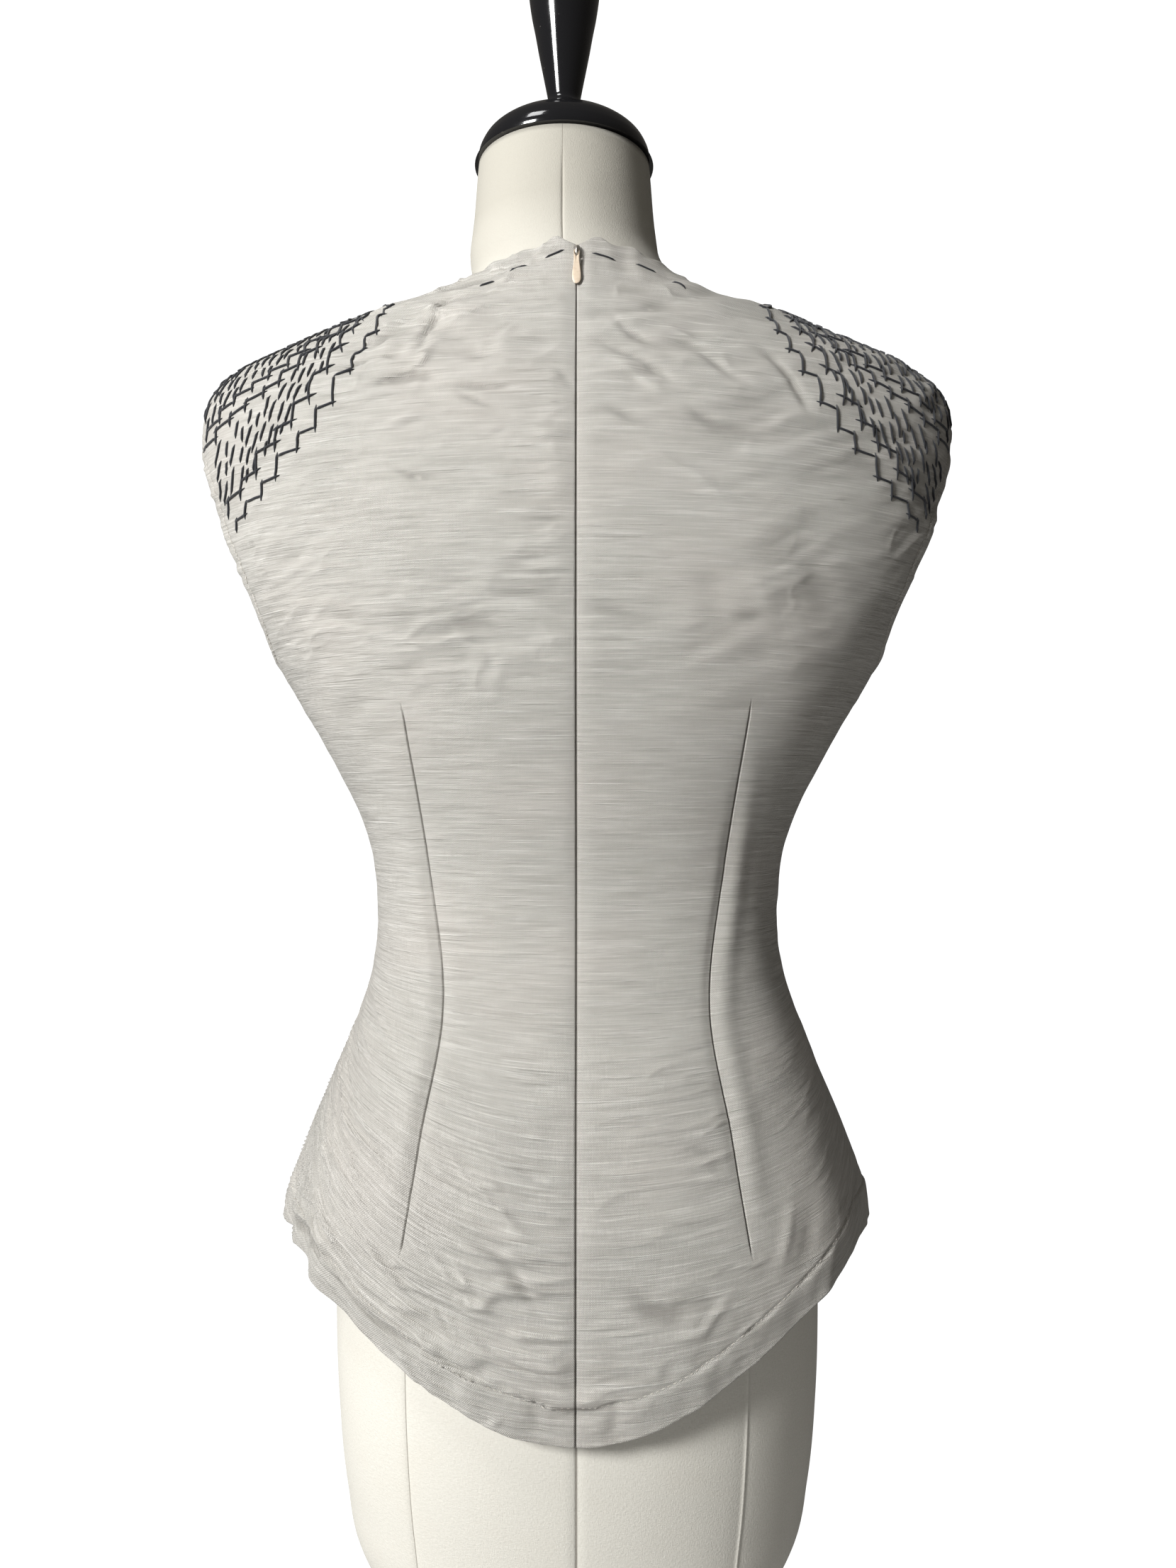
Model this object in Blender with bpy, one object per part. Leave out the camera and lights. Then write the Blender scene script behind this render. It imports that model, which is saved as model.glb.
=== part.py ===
"""A sleeveless fitted vest worn on a limbless dress form.

The vest is closed by a zip down the centre of its back. Its back faces -Y, the wearer's left is at -X
and the form stands on its flat underside at Z = 0. Tables and sizes are in centimetres, and the meshes
are made in metres. A place on the body is an angle, 0 at the centre of the back and growing towards +X,
and a height above the underside.
"""

import bpy
import bmesh
import numpy as np
from math import radians
from mathutils import Matrix, Vector

for item in list(bpy.data.objects):
    bpy.data.objects.remove(item, do_unlink=True)

# Driving sizes, in centimetres
CM = 0.01
WALL = 0.16
SEAM_GAP = 0.03
FACING_WALL = 0.10
TAPE_WALL = 0.09


def named(columns, rows):
    """A short table as one array for each named column."""
    return dict(zip(columns, np.array(rows, dtype=float).T))


# Vest: outer half width and depths of the body it wraps, from the hem to the neck
RING_COLUMNS = ("height", "half_width", "back", "front")
VEST_RINGS = named(RING_COLUMNS, (
    (13.0, 16.8, 12.3, 12.7),
    (20.0, 16.9, 12.2, 12.5),
    (23.0, 16.8, 11.9, 12.2),
    (25.0, 16.25, 11.7, 11.9),
    (27.0, 15.55, 11.3, 11.6),
    (29.0, 14.85, 10.9, 11.3),
    (31.0, 14.05, 10.4, 10.9),
    (33.0, 13.25, 9.8, 10.5),
    (35.0, 12.45, 9.1, 10.2),
    (37.0, 11.85, 8.6, 10.0),
    (39.5, 11.55, 8.2, 9.9),
    (41.5, 11.6, 8.1, 10.0),
    (43.5, 11.85, 8.3, 10.4),
    (45.7, 12.55, 8.7, 11.0),
    (48.0, 13.65, 9.2, 11.9),
    (50.0, 14.75, 9.7, 12.6),
    (52.0, 15.9, 10.1, 13.1),
    (54.2, 17.2, 10.4, 13.2),
    (56.6, 18.65, 10.6, 12.9),
    (59.4, 20.15, 10.7, 12.2),
    (61.5, 20.9, 10.6, 11.5),
    (63.7, 21.4, 10.4, 10.7),
    (65.7, 21.7, 10.1, 9.9),
    (67.2, 21.75, 9.8, 9.3),
    (68.2, 21.75, 9.55, 8.8),
    (69.2, 21.55, 9.3, 8.4),
    (70.1, 21.05, 9.05, 8.0),
    (71.1, 19.95, 8.8, 7.65),
    (72.1, 18.0, 8.5, 7.3),
    (73.2, 15.6, 8.1, 7.0),
    (74.2, 13.0, 7.6, 6.7),
    (75.1, 9.3, 7.05, 6.4),
    (75.8, 7.5, 6.7, 6.2),
    (76.6, 6.75, 6.3, 6.05),
    (77.6, 6.5, 6.0, 5.9),
))

# How square the rings are: 2 is an ellipse, more is boxy, less is drawn out to the shoulder tips
SQUARENESS = named(("height", "power"), (
    (0.0, 2.25),
    (64.0, 2.25),
    (68.2, 2.15),
    (70.1, 1.95),
    (72.1, 1.75),
    (74.2, 1.62),
    (75.4, 1.70),
    (76.6, 1.92),
    (78.0, 2.00),
    (84.0, 2.00),
))

# Dress form: the same columns; the shoulders also stay just under the vest
FORM_RINGS = named(RING_COLUMNS, (
    (0.0, 8.4, 5.6, 5.6),
    (0.5, 9.8, 7.0, 7.0),
    (1.4, 10.6, 7.8, 7.8),
    (3.0, 11.8, 8.8, 8.7),
    (5.0, 12.8, 9.5, 9.3),
    (8.0, 13.35, 10.0, 9.7),
    (13.0, 13.75, 10.6, 10.2),
    (18.0, 13.85, 10.8, 10.4),
    (23.0, 13.8, 10.8, 10.5),
    (26.0, 13.5, 10.5, 10.4),
    (30.0, 12.9, 9.7, 10.2),
    (33.0, 12.2, 8.9, 9.8),
    (36.0, 11.5, 8.2, 9.5),
    (39.0, 11.1, 7.7, 9.35),
    (42.0, 11.2, 7.6, 9.5),
    (45.0, 11.9, 8.0, 10.3),
    (48.0, 13.1, 8.7, 11.4),
    (51.0, 14.4, 9.3, 12.4),
    (54.0, 15.4, 9.8, 12.7),
    (58.0, 16.2, 10.1, 12.0),
    (62.0, 16.9, 10.0, 10.8),
    (66.0, 17.3, 9.5, 9.3),
    (68.5, 17.4, 9.0, 8.2),
    (70.2, 17.15, 8.55, 7.5),
    (71.4, 16.6, 8.2, 7.05),
    (72.4, 15.7, 7.85, 6.75),
    (73.3, 14.2, 7.5, 6.45),
    (74.2, 12.1, 7.05, 6.15),
    (75.0, 9.1, 6.55, 5.9),
    (75.7, 7.0, 6.1, 5.75),
    (76.6, 6.0, 5.7, 5.6),
    (77.6, 5.7, 5.5, 5.45),
    (79.0, 5.5, 5.3, 5.3),
    (81.0, 5.25, 5.15, 5.15),
    (83.65, 5.0, 5.0, 5.0),
))
SEAT_DROP = 0.23
NECK_SHIFT = -0.80
NECK_SHIFT_FROM = 75.6
NECK_SHIFT_TO = 78.6

# Bust: a soft swell on each side of the front
BUST_ANGLE = radians(27.0)
BUST_SPREAD = radians(15.0)
BUST_HEIGHT = 55.0
BUST_TALL = 4.6
BUST_RISE = 0.075

# Edges of the vest
HEM_SIDE = 22.8
HEM_BACK = 15.2
HEM_FRONT = 17.8
UNDERARM = 54.2
SHOULDER_TIP = 68.2
NECK_POINT = 75.75
NECK_BACK = 76.80
NECK_FRONT = 71.0
NECK_NOTCH = 0.38
NECK_PEAK = 0.25
PEAK_FROM_CENTRE = 1.1
PEAK_WIDTH = 0.5
FRONT_ROW_DROP = 2.2
HEM_RISE_ANGLE = 1.3
HEM_RISE_POWER = 1.6

# Armhole: how far the edge is set in from the side, along the way from underarm to shoulder tip
ARMHOLE = named(("way", "height", "back_angle", "front_angle"), (
    (0.00, 54.20, 0.0, 0.0),
    (0.12, 54.45, 11.5, 12.5),
    (0.28, 56.00, 20.5, 23.5),
    (0.46, 58.80, 25.0, 29.5),
    (0.62, 61.60, 22.5, 28.5),
    (0.78, 64.70, 17.0, 22.5),
    (0.91, 67.10, 9.0, 12.5),
    (1.00, 68.20, 0.0, 0.0),
))
FACING_COLUMNS = 3

# Waist darts, sewn into a narrow trough: how far each lies from the centre
DART = named(("height", "from_centre"), (
    (23.7, 8.85),
    (29.5, 8.00),
    (35.3, 7.05),
    (43.0, 7.90),
    (52.0, 9.05),
))
DART_HALF_WIDTH = 0.40
DART_DEPTH = 0.12
DART_END = 2.5

# Hem flutes beside each side seam
FLUTE_DEPTH = 0.32
FLUTE_ANGLE = radians(42.0)
FLUTE_SPREAD = radians(48.0)
FLUTE_TOP = 33.0
FLUTE_FULL = 22.0

# Grid of a half panel
ROWS_SIDE = 14
ROWS_ARMHOLE = 10
ROWS_SHOULDER = 8
COLUMNS_TO_DART = 4
COLUMNS_TO_EDGE = 6
FORM_COLUMNS = 32
FORM_ROW_MOST = 2.9
CAP_COLUMNS = 28
FINIAL_COLUMNS = 20

# Zip in the centre back seam
ZIP_FOOT = 33.0
TAPE_HALF_WIDTH = 0.8
SLIDER_HEIGHT = 75.70
PULL_LENGTH = 2.10
PULL_TILT = radians(3.6)
SLIDER_REACH = 0.35

# Neck cap and finial: radius and height of each turned profile
CAP_PROFILE = (
    (0.0, 83.68), (4.85, 83.68), (5.00, 83.80), (5.03, 84.10), (4.95, 84.50), (4.65, 85.00),
    (4.15, 85.45), (3.50, 85.85), (2.70, 86.20), (1.90, 86.50), (1.45, 86.62), (0.0, 86.62),
)
FINIAL_PROFILE = (
    (0.0, 86.65), (1.22, 86.65), (1.30, 86.85), (1.27, 87.15), (1.05, 87.35), (0.95, 87.65),
    (1.02, 88.10), (1.30, 89.50), (1.50, 90.50), (1.70, 91.60), (1.90, 92.60), (2.06, 93.70),
    (2.14, 94.70), (2.05, 95.50), (1.70, 96.10), (1.05, 96.45), (0.0, 96.60),
)

CLOTH = (0.71, 0.69, 0.65)
FORM_COVER = (0.80, 0.78, 0.72)
BLACK_LACQUER = (0.012, 0.012, 0.014)
ZIP_TAPE = (0.66, 0.63, 0.58)
ZIP_METAL = (0.62, 0.60, 0.56)
PULL_ENAMEL = (0.72, 0.57, 0.41)


def material(name, colour, roughness, metallic=0.0):
    """A plain finish with the part's own colour."""
    finish = bpy.data.materials.new(name)
    finish.use_nodes = True
    shader = finish.node_tree.nodes["Principled BSDF"]
    shader.inputs["Base Color"].default_value = (*colour, 1.0)
    shader.inputs["Roughness"].default_value = roughness
    shader.inputs["Metallic"].default_value = metallic
    return finish


def smooth(table, column, at):
    """Cubic curve through a column over the table's first one; a row's slope is its neighbours' mean."""
    x, y = next(iter(table.values())), table[column]
    slope = np.gradient(y, x)
    at = np.clip(np.asarray(at, dtype=float), x[0], x[-1])
    i = np.clip(np.searchsorted(x, at) - 1, 0, len(x) - 2)
    step = x[i + 1] - x[i]
    t = (at - x[i]) / step
    start = (1 + 2 * t) * (1 - t) ** 2 * y[i] + t * (1 - t) ** 2 * step * slope[i]
    end = t * t * (3 - 2 * t) * y[i + 1] + t * t * (t - 1) * step * slope[i + 1]
    return start + end


def ease(value):
    """0 below 0, 1 above 1, and a soft S between."""
    value = np.clip(value, 0.0, 1.0)
    return value * value * (3 - 2 * value)


def oval(half_width, back, front, angle, height):
    """A point on a rounded oval; the back and the front half have their own depth."""
    across, along = np.sin(angle), np.cos(angle)
    depth = np.where(along > 0, back, front)
    power = 2 / smooth(SQUARENESS, "power", height)
    x = half_width * np.sign(across) * np.abs(across) ** power
    y = -depth * np.sign(along) * np.abs(along) ** power
    return x, y


def bust(angle, height):
    """How much wider the body is at the bust than its oval."""
    from_front = np.abs(np.pi - np.mod(angle, 2 * np.pi))
    swell = np.exp(-((from_front - BUST_ANGLE) / BUST_SPREAD) ** 2)
    return 1 + BUST_RISE * swell * np.exp(-((height - BUST_HEIGHT) / BUST_TALL) ** 2)


def flutes(angle, height):
    """Soft waves of the flared hem, strongest at the side seams."""
    from_side = np.abs(np.abs(np.mod(angle + np.pi, 2 * np.pi) - np.pi) - np.pi / 2)
    wave = np.cos(2 * np.pi * from_side / FLUTE_ANGLE) * np.exp(-(from_side / FLUTE_SPREAD) ** 2)
    return FLUTE_DEPTH * wave * ease((FLUTE_TOP - height) / (FLUTE_TOP - FLUTE_FULL))


def dart_angle(height):
    """Angle of the dart from the centre of its half; above and below the dart it stays as at its end."""
    height = np.clip(height, DART["height"][0], DART["height"][-1])
    across = smooth(DART, "from_centre", height) / smooth(VEST_RINGS, "half_width", height)
    return np.arcsin(np.clip(across, 0, 1) ** (smooth(SQUARENESS, "power", height) / 2))


def dart_reach(height):
    """Angle that the dart's half width takes up."""
    angle = dart_angle(height)
    width = smooth(VEST_RINGS, "half_width", height) * np.cos(angle)
    depth = smooth(VEST_RINGS, "back", height) * np.sin(angle)
    return DART_HALF_WIDTH / np.hypot(width, depth)


def body(angle, height):
    """Outer surface of the vest before its darts are pressed in."""
    half_width, back, front = (smooth(VEST_RINGS, column, height) for column in RING_COLUMNS[1:])
    x, y = oval(half_width, back, front, angle, height)
    scale = bust(angle, height) + flutes(angle, height) / np.hypot(x, y)
    return np.stack([x * scale, y * scale, height + 0 * x], axis=-1)


def outward(angle, height):
    """Unit normal of the body, from its slopes along the angle and the height."""
    step_angle, step_height = radians(0.5), 0.05
    around = body(angle + step_angle, height) - body(angle - step_angle, height)
    up = body(angle, height + step_height) - body(angle, height - step_height)
    normal = np.cross(around, up)
    return normal / np.linalg.norm(normal, axis=-1, keepdims=True)


def cloth(angle, height, depth):
    """A point of the vest's cloth, `depth` under its outer surface, with the darts pressed in."""
    centre = np.where(np.cos(angle) > 0, 0.0, np.pi)
    from_centre = np.abs(np.mod(angle - centre + np.pi, 2 * np.pi) - np.pi)
    away = np.abs(from_centre - dart_angle(height)) / dart_reach(height)
    foot, top = DART["height"][0], DART["height"][-1]
    ends = ease((height - foot) / DART_END) * ease((top - height) / DART_END)
    pressed = DART_DEPTH * np.clip(1 - away, 0, 1) * ends
    return body(angle, height) - outward(angle, height) * (depth + pressed)[..., None]


def form_surface(angle, height):
    """Outer surface of the dress form."""
    seat = np.minimum(height + SEAT_DROP, VEST_RINGS["height"][-1])
    limit = np.where(height > BUST_HEIGHT, smooth(VEST_RINGS, "half_width", seat), np.inf)
    half_width = np.minimum(smooth(FORM_RINGS, "half_width", height), limit)
    back, front = (smooth(FORM_RINGS, column, height) for column in ("back", "front"))
    x, y = oval(half_width, back, front, angle, height)
    scale = bust(angle, height)
    shift = NECK_SHIFT * ease((height - NECK_SHIFT_FROM) / (NECK_SHIFT_TO - NECK_SHIFT_FROM))
    return np.stack([x * scale + shift, y * scale, height + 0 * x], axis=-1)


def link(name, mesh, finish):
    """Puts a mesh in the scene as a named object, shaded smooth, with its faces outwards."""
    shape = bmesh.new()
    shape.from_mesh(mesh)
    bmesh.ops.recalc_face_normals(shape, faces=shape.faces)
    shape.to_mesh(mesh)
    shape.free()
    mesh.shade_smooth()
    mesh.set_sharp_from_angle(angle=radians(50))
    mesh.materials.append(finish)
    thing = bpy.data.objects.new(name, mesh)
    bpy.context.scene.collection.objects.link(thing)
    return thing


def solid(name, points, faces, finish):
    """A closed body from points in centimetres."""
    mesh = bpy.data.meshes.new(name)
    mesh.from_pydata((np.asarray(points).reshape(-1, 3) * CM).tolist(), [], faces)
    return link(name, mesh, finish)


def wall(name, outer, inner, finish, closed=False):
    """A wall between two grids of points; a closed one joins its last column to its first."""
    rows, columns = outer.shape[:2]
    index = np.arange(rows * columns).reshape(rows, columns)
    if closed:
        index = np.concatenate([index, index[:, :1]], axis=1)
    under = index + rows * columns
    faces = []
    for r in range(rows - 1):
        for c in range(index.shape[1] - 1):
            faces.append((index[r, c], index[r, c + 1], index[r + 1, c + 1], index[r + 1, c]))
            faces.append((under[r, c], under[r + 1, c], under[r + 1, c + 1], under[r, c + 1]))
    rims = [(index[0], under[0]), (index[-1], under[-1])]
    if not closed:
        rims += [(index[:, 0], under[:, 0]), (index[:, -1], under[:, -1])]
    for edge, edge_under in rims:
        for k in range(len(edge) - 1):
            faces.append((edge[k], edge_under[k], edge_under[k + 1], edge[k + 1]))
    faces = [tuple(int(v) for v in face) for face in faces]
    return solid(name, np.concatenate([outer.reshape(-1, 3), inner.reshape(-1, 3)]), faces, finish)


def edge_rows(front):
    """For each row of a half panel: height at the centre, and angle and height at its outer edge."""
    hem, neck = (HEM_FRONT, NECK_FRONT) if front else (HEM_BACK, NECK_BACK)
    side = np.linspace(0, 1, ROWS_SIDE + 1)[:-1]
    way = np.linspace(0, 1, ROWS_ARMHOLE + 1)[:-1]
    seam = np.linspace(0, 1, ROWS_SHOULDER + 1)
    armhole_centre = np.linspace(UNDERARM, SHOULDER_TIP - (FRONT_ROW_DROP if front else 0.0), ROWS_ARMHOLE + 1)
    outer_height = np.concatenate([
        HEM_SIDE + (UNDERARM - HEM_SIDE) * side,
        smooth(ARMHOLE, "height", way),
        SHOULDER_TIP + (NECK_POINT - SHOULDER_TIP) * seam,
    ])
    centre_height = np.concatenate([
        hem + (UNDERARM - hem) * side,
        armhole_centre[:-1],
        armhole_centre[-1] + (neck - armhole_centre[-1]) * seam,
    ])
    inset = smooth(ARMHOLE, "front_angle" if front else "back_angle", way)
    angle = np.pi / 2 - np.radians(np.concatenate([0 * side, inset, 0 * seam]))
    return centre_height, angle, outer_height


def half_grid(front):
    """Angles from the centre, and heights, of a half panel; rows go up and columns go outwards."""
    centre, edge_angle, edge_height = edge_rows(front)
    middle_height = (centre + edge_height) / 2
    dart, reach = dart_angle(middle_height), dart_reach(middle_height)
    inner = (dart - reach)[:, None] * np.linspace(0, 1, COLUMNS_TO_DART + 1)[:-1]
    fan = np.linspace(0, 1, COLUMNS_TO_EDGE + 1)
    outer = (dart + reach)[:, None] + (edge_angle - dart - reach)[:, None] * fan
    angle = np.concatenate([inner, (dart - reach)[:, None], dart[:, None], outer], axis=1)
    share = np.sin(np.minimum(angle * HEM_RISE_ANGLE, np.pi / 2)) ** HEM_RISE_POWER
    share = share / share[:, -1:]
    height = centre[:, None] + (edge_height - centre)[:, None] * share
    if not front:
        from_centre = np.abs(body(angle[-1], height[-1])[:, 0])
        notch = NECK_NOTCH * np.clip(1 - from_centre / PEAK_FROM_CENTRE, 0, 1)
        peak = NECK_PEAK * np.exp(-((from_centre - PEAK_FROM_CENTRE) / PEAK_WIDTH) ** 2)
        height[-1] += peak - notch
        height[-2] += (peak - notch) / 2
    return angle, height


def cloth_wall(angle, height):
    """Outer and inner points of the cloth at a grid of angles and heights."""
    depth = np.zeros(angle.shape)
    return cloth(angle, height, depth), cloth(angle, height, depth + WALL)


def back_panel(name, side, finish):
    """Half of the back, from the zip to the side seam, armhole and shoulder seam."""
    angle, height = half_grid(front=False)
    pair = cloth_wall(angle, height)
    edge_angle = angle[:, -1]
    for points in pair:
        points[:, 0, 0] = SEAM_GAP / 2
        on_seam = edge_angle > np.pi / 2 - 1e-6
        points[on_seam, -1, 1] = -SEAM_GAP / 2
        points[..., 0] *= side
    return wall(name, *pair, finish)


def front_panel(name, finish):
    """The whole front, cut on the fold, from side seam to side seam."""
    angle, height = half_grid(front=True)
    pair = cloth_wall(np.pi - angle, height)
    edge_angle = angle[:, -1]
    whole = []
    for points in pair:
        on_seam = edge_angle > np.pi / 2 - 1e-6
        points[on_seam, -1, 1] = SEAM_GAP / 2
        points[:, 0, 0] = 0.0
        mirrored = points[:, :0:-1] * (-1, 1, 1)
        whole.append(np.concatenate([mirrored, points], axis=1))
    return wall(name, *whole, finish)


def armhole_facing(name, side, front, finish):
    """A strip turned to the inside of one armhole, made from the panel's own points moved in."""
    angle, height = half_grid(front)
    rows = slice(ROWS_SIDE - 1, ROWS_SIDE + ROWS_ARMHOLE + 2)
    angle, height = angle[rows, -FACING_COLUMNS:], height[rows, -FACING_COLUMNS:]
    on_seam = angle[:, -1] > np.pi / 2 - 1e-6
    if front:
        angle = np.pi - angle
    depth = np.full(angle.shape, WALL + SEAM_GAP)
    pair = cloth(angle, height, depth), cloth(angle, height, depth + FACING_WALL)
    for points in pair:
        points[on_seam, -1, 1] = SEAM_GAP / 2 if front else -SEAM_GAP / 2
        points[..., 0] *= side
    if front and side < 0:
        pair = [points[:, ::-1] for points in pair]
    return wall(name, *pair, finish)


def zip_tape(name, finish):
    """The strip behind the centre back seam that carries the zip's coils, on the panels' own facets."""
    angle, height = half_grid(front=False)
    rows = (height[:, 0] > ZIP_FOOT) & (height[:, 0] < NECK_BACK - NECK_NOTCH)
    angle, height = angle[rows, :2], height[rows, :2]
    pair = []
    for depth in (WALL + SEAM_GAP, WALL + SEAM_GAP + TAPE_WALL):
        points = cloth(angle, height, np.full(angle.shape, depth))
        points[:, 0, 0] = 0.0
        share = (TAPE_HALF_WIDTH / points[:, 1, 0])[:, None]
        edge = points[:, 0] + (points[:, 1] - points[:, 0]) * share
        pair.append(np.stack([edge * (-1, 1, 1), points[:, 0], edge], axis=1))
    return wall(name, *pair, finish)


def zip_frame():
    """Origin and unit vectors of the zip's top: across, down along the seam, and out of the cloth."""
    top, foot = (cloth(np.zeros(1), np.array([h]), np.zeros(1))[0] for h in
                 (SLIDER_HEIGHT + SLIDER_REACH, SLIDER_HEIGHT - PULL_LENGTH))
    down = (foot - top) / np.linalg.norm(foot - top)
    across = np.array([1.0, 0.0, 0.0])
    out = np.cross(down, across)
    origin = cloth(np.zeros(1), np.array([SLIDER_HEIGHT]), np.zeros(1))[0]
    return origin, across, down, out


def in_zip_frame(points):
    """Moves points given as across, down, out into the zip's place."""
    origin, across, down, out = zip_frame()
    points = np.asarray(points, dtype=float)
    return origin + points[..., :1] * across + points[..., 1:2] * down + points[..., 2:] * out


# Slider and pull, in centimetres from the slider's middle on the cloth
PLATE = {"half_width": 0.18, "up": 0.42, "down": 0.33, "under": 0.05, "over": 0.13}
PIVOT_OUT = 0.235
BRIDGE = {"half_width": 0.07, "half_length": 0.31, "leg": 0.10, "clear": 0.105, "bar": 0.10,
          "corner": 0.06, "sunk": 0.05}
EYE = {"half_width": 0.115, "start": 0.055, "end": 0.42}
PULL_HALF_THICK = 0.05
PULL_OUTLINE = (
    (-0.055, 0.100), (0.00, 0.165), (0.20, 0.178), (0.45, 0.172), (0.80, 0.185), (1.25, 0.225),
    (1.62, 0.250), (1.85, 0.225), (2.00, 0.160), (2.08, 0.070),
)


def block(low, high):
    """Corners and faces of a box between two points."""
    corner = [[(low, high)[i >> k & 1][k] for k in range(3)] for i in range(8)]
    faces = [(0, 2, 3, 1), (4, 5, 7, 6), (0, 1, 5, 4), (2, 6, 7, 3), (0, 4, 6, 2), (1, 3, 7, 5)]
    return corner, faces


def zip_slider(name, finish):
    """The slider's plate with a bridge over it, joined into one body."""
    p, b = PLATE, BRIDGE
    corners, faces = block((-p["half_width"], -p["up"], p["under"]), (p["half_width"], p["down"], p["over"]))
    plate = solid(name, in_zip_frame(corners), faces, finish)
    high = PIVOT_OUT + b["clear"]
    foot = p["over"] - b["sunk"]
    outline = [
        (-b["half_length"], foot), (-b["half_length"] + b["leg"], foot),
        (-b["half_length"] + b["leg"], high), (b["half_length"] - b["leg"], high),
        (b["half_length"] - b["leg"], foot), (b["half_length"], foot),
        (b["half_length"], high + b["bar"] - b["corner"]), (b["half_length"] - b["corner"], high + b["bar"]),
        (-b["half_length"] + b["corner"], high + b["bar"]), (-b["half_length"], high + b["bar"] - b["corner"]),
    ]
    count = len(outline)
    points = [(x, t, n) for x in (-b["half_width"], b["half_width"]) for t, n in outline]
    sides = [(k, (k + 1) % count, (k + 1) % count + count, k + count) for k in range(count)]
    caps = [tuple(range(count)), tuple(range(2 * count - 1, count - 1, -1))]
    bridge = solid("slider_bridge_cutter", in_zip_frame(points), sides + caps, finish)
    bridge.hide_render = True
    bridge.display_type = "WIRE"
    join = plate.modifiers.new("bridge", "BOOLEAN")
    join.operation = "UNION"
    join.object = bridge
    return plate


def zip_pull(name, finish):
    """A drop-shaped tab with an eye, hung on the slider's bridge; its origin is on the hinge."""
    right = [(half, t) for t, half in PULL_OUTLINE]
    outline = right + [(-half, t) for half, t in right[::-1]]
    middle = (EYE["start"] + EYE["end"]) / 2
    turn = np.array([np.arctan2(t - middle, x) for x, t in outline])
    across, along = np.cos(turn), np.sin(turn)
    tall = (EYE["end"] - EYE["start"]) / 2
    grow = 1 / np.maximum(np.abs(across) / EYE["half_width"], np.abs(along) / tall)
    eye = np.stack([across * grow, middle + along * grow], axis=1)
    flat = np.concatenate([np.array(outline), eye])
    count = len(outline)
    points = []
    for level in (PULL_HALF_THICK, -PULL_HALF_THICK):
        for x, t in flat:
            lean_t = t * np.cos(PULL_TILT) + level * np.sin(PULL_TILT)
            lean_n = PIVOT_OUT - t * np.sin(PULL_TILT) + level * np.cos(PULL_TILT)
            points.append((x, lean_t, lean_n))
    faces = []
    for k in range(count):
        j = (k + 1) % count
        faces.append((k, j, count + j, count + k))
        faces.append((2 * count + k, 3 * count + k, 3 * count + j, 2 * count + j))
        faces.append((k, 2 * count + k, 2 * count + j, j))
        faces.append((count + k, count + j, 3 * count + j, 3 * count + k))
    tab = solid(name, in_zip_frame(points), faces, finish)
    pivot = in_zip_frame([(0.0, 0.0, PIVOT_OUT)])[0] * CM
    tab.data.transform(Matrix.Translation(-Vector(pivot)))
    tab.location = pivot
    return tab


def lofted(name, surface, heights, columns, finish):
    """A closed body through rings of a surface, with a flat bottom and a flat top."""
    angle = np.linspace(0, 2 * np.pi, columns, endpoint=False)
    rings = np.stack([surface(angle, np.full(columns, h)) for h in heights])
    index = np.arange(len(heights) * columns).reshape(len(heights), columns)
    faces = []
    for r in range(len(heights) - 1):
        for c in range(columns):
            d = (c + 1) % columns
            faces.append((index[r, c], index[r, d], index[r + 1, d], index[r + 1, c]))
    faces.append(tuple(index[0][::-1]))
    faces.append(tuple(index[-1]))
    faces = [tuple(int(v) for v in face) for face in faces]
    return solid(name, rings, faces, finish)


def turned(name, profile, columns, finish):
    """A body turned round the neck's axis; the profile starts and ends on the axis."""
    angle = np.linspace(0, 2 * np.pi, columns, endpoint=False)
    points = [(NECK_SHIFT, 0.0, profile[0][1])]
    for radius, height in profile[1:-1]:
        ring = np.stack([NECK_SHIFT + radius * np.sin(angle), -radius * np.cos(angle), 0 * angle + height], 1)
        points += ring.tolist()
    points.append((NECK_SHIFT, 0.0, profile[-1][1]))
    rings = len(profile) - 2
    faces = []
    for c in range(columns):
        d = (c + 1) % columns
        faces.append((0, 1 + d, 1 + c))
        for r in range(rings - 1):
            low, high = 1 + r * columns, 1 + (r + 1) * columns
            faces.append((low + c, low + d, high + d, high + c))
        last = 1 + (rings - 1) * columns
        faces.append((last + c, last + d, len(points) - 1))
    return solid(name, points, faces, finish)


def form_heights():
    """Ring heights of the form: its table's own rows, and one more between rows that lie far apart."""
    rows = FORM_RINGS["height"]
    wide = np.diff(rows) > FORM_ROW_MOST
    return np.sort(np.concatenate([rows, ((rows[1:] + rows[:-1]) / 2)[wide]]))


def build():
    """Makes every piece."""
    fabric = material("vest_cloth", CLOTH, 0.75)
    facing = material("facing_cloth", CLOTH, 0.8)
    cover = material("form_cover", FORM_COVER, 0.85)
    lacquer = material("black_lacquer", BLACK_LACQUER, 0.2)
    back_panel("back_left", -1, fabric)
    back_panel("back_right", 1, fabric)
    front_panel("front", fabric)
    for side_name, side in (("left", -1), ("right", 1)):
        armhole_facing(f"armhole_facing_back_{side_name}", side, False, facing)
        armhole_facing(f"armhole_facing_front_{side_name}", side, True, facing)
    zip_tape("zip_tape", material("zip_tape", ZIP_TAPE, 0.8))
    zip_slider("zip_slider", material("zip_metal", ZIP_METAL, 0.35, 1.0))
    zip_pull("zip_pull", material("pull_enamel", PULL_ENAMEL, 0.35))
    lofted("form_body", form_surface, form_heights(), FORM_COLUMNS, cover)
    turned("form_cap", CAP_PROFILE, CAP_COLUMNS, lacquer)
    turned("form_finial", FINIAL_PROFILE, FINIAL_COLUMNS, lacquer)


build()
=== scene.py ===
from math import radians
from types import SimpleNamespace

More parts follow.
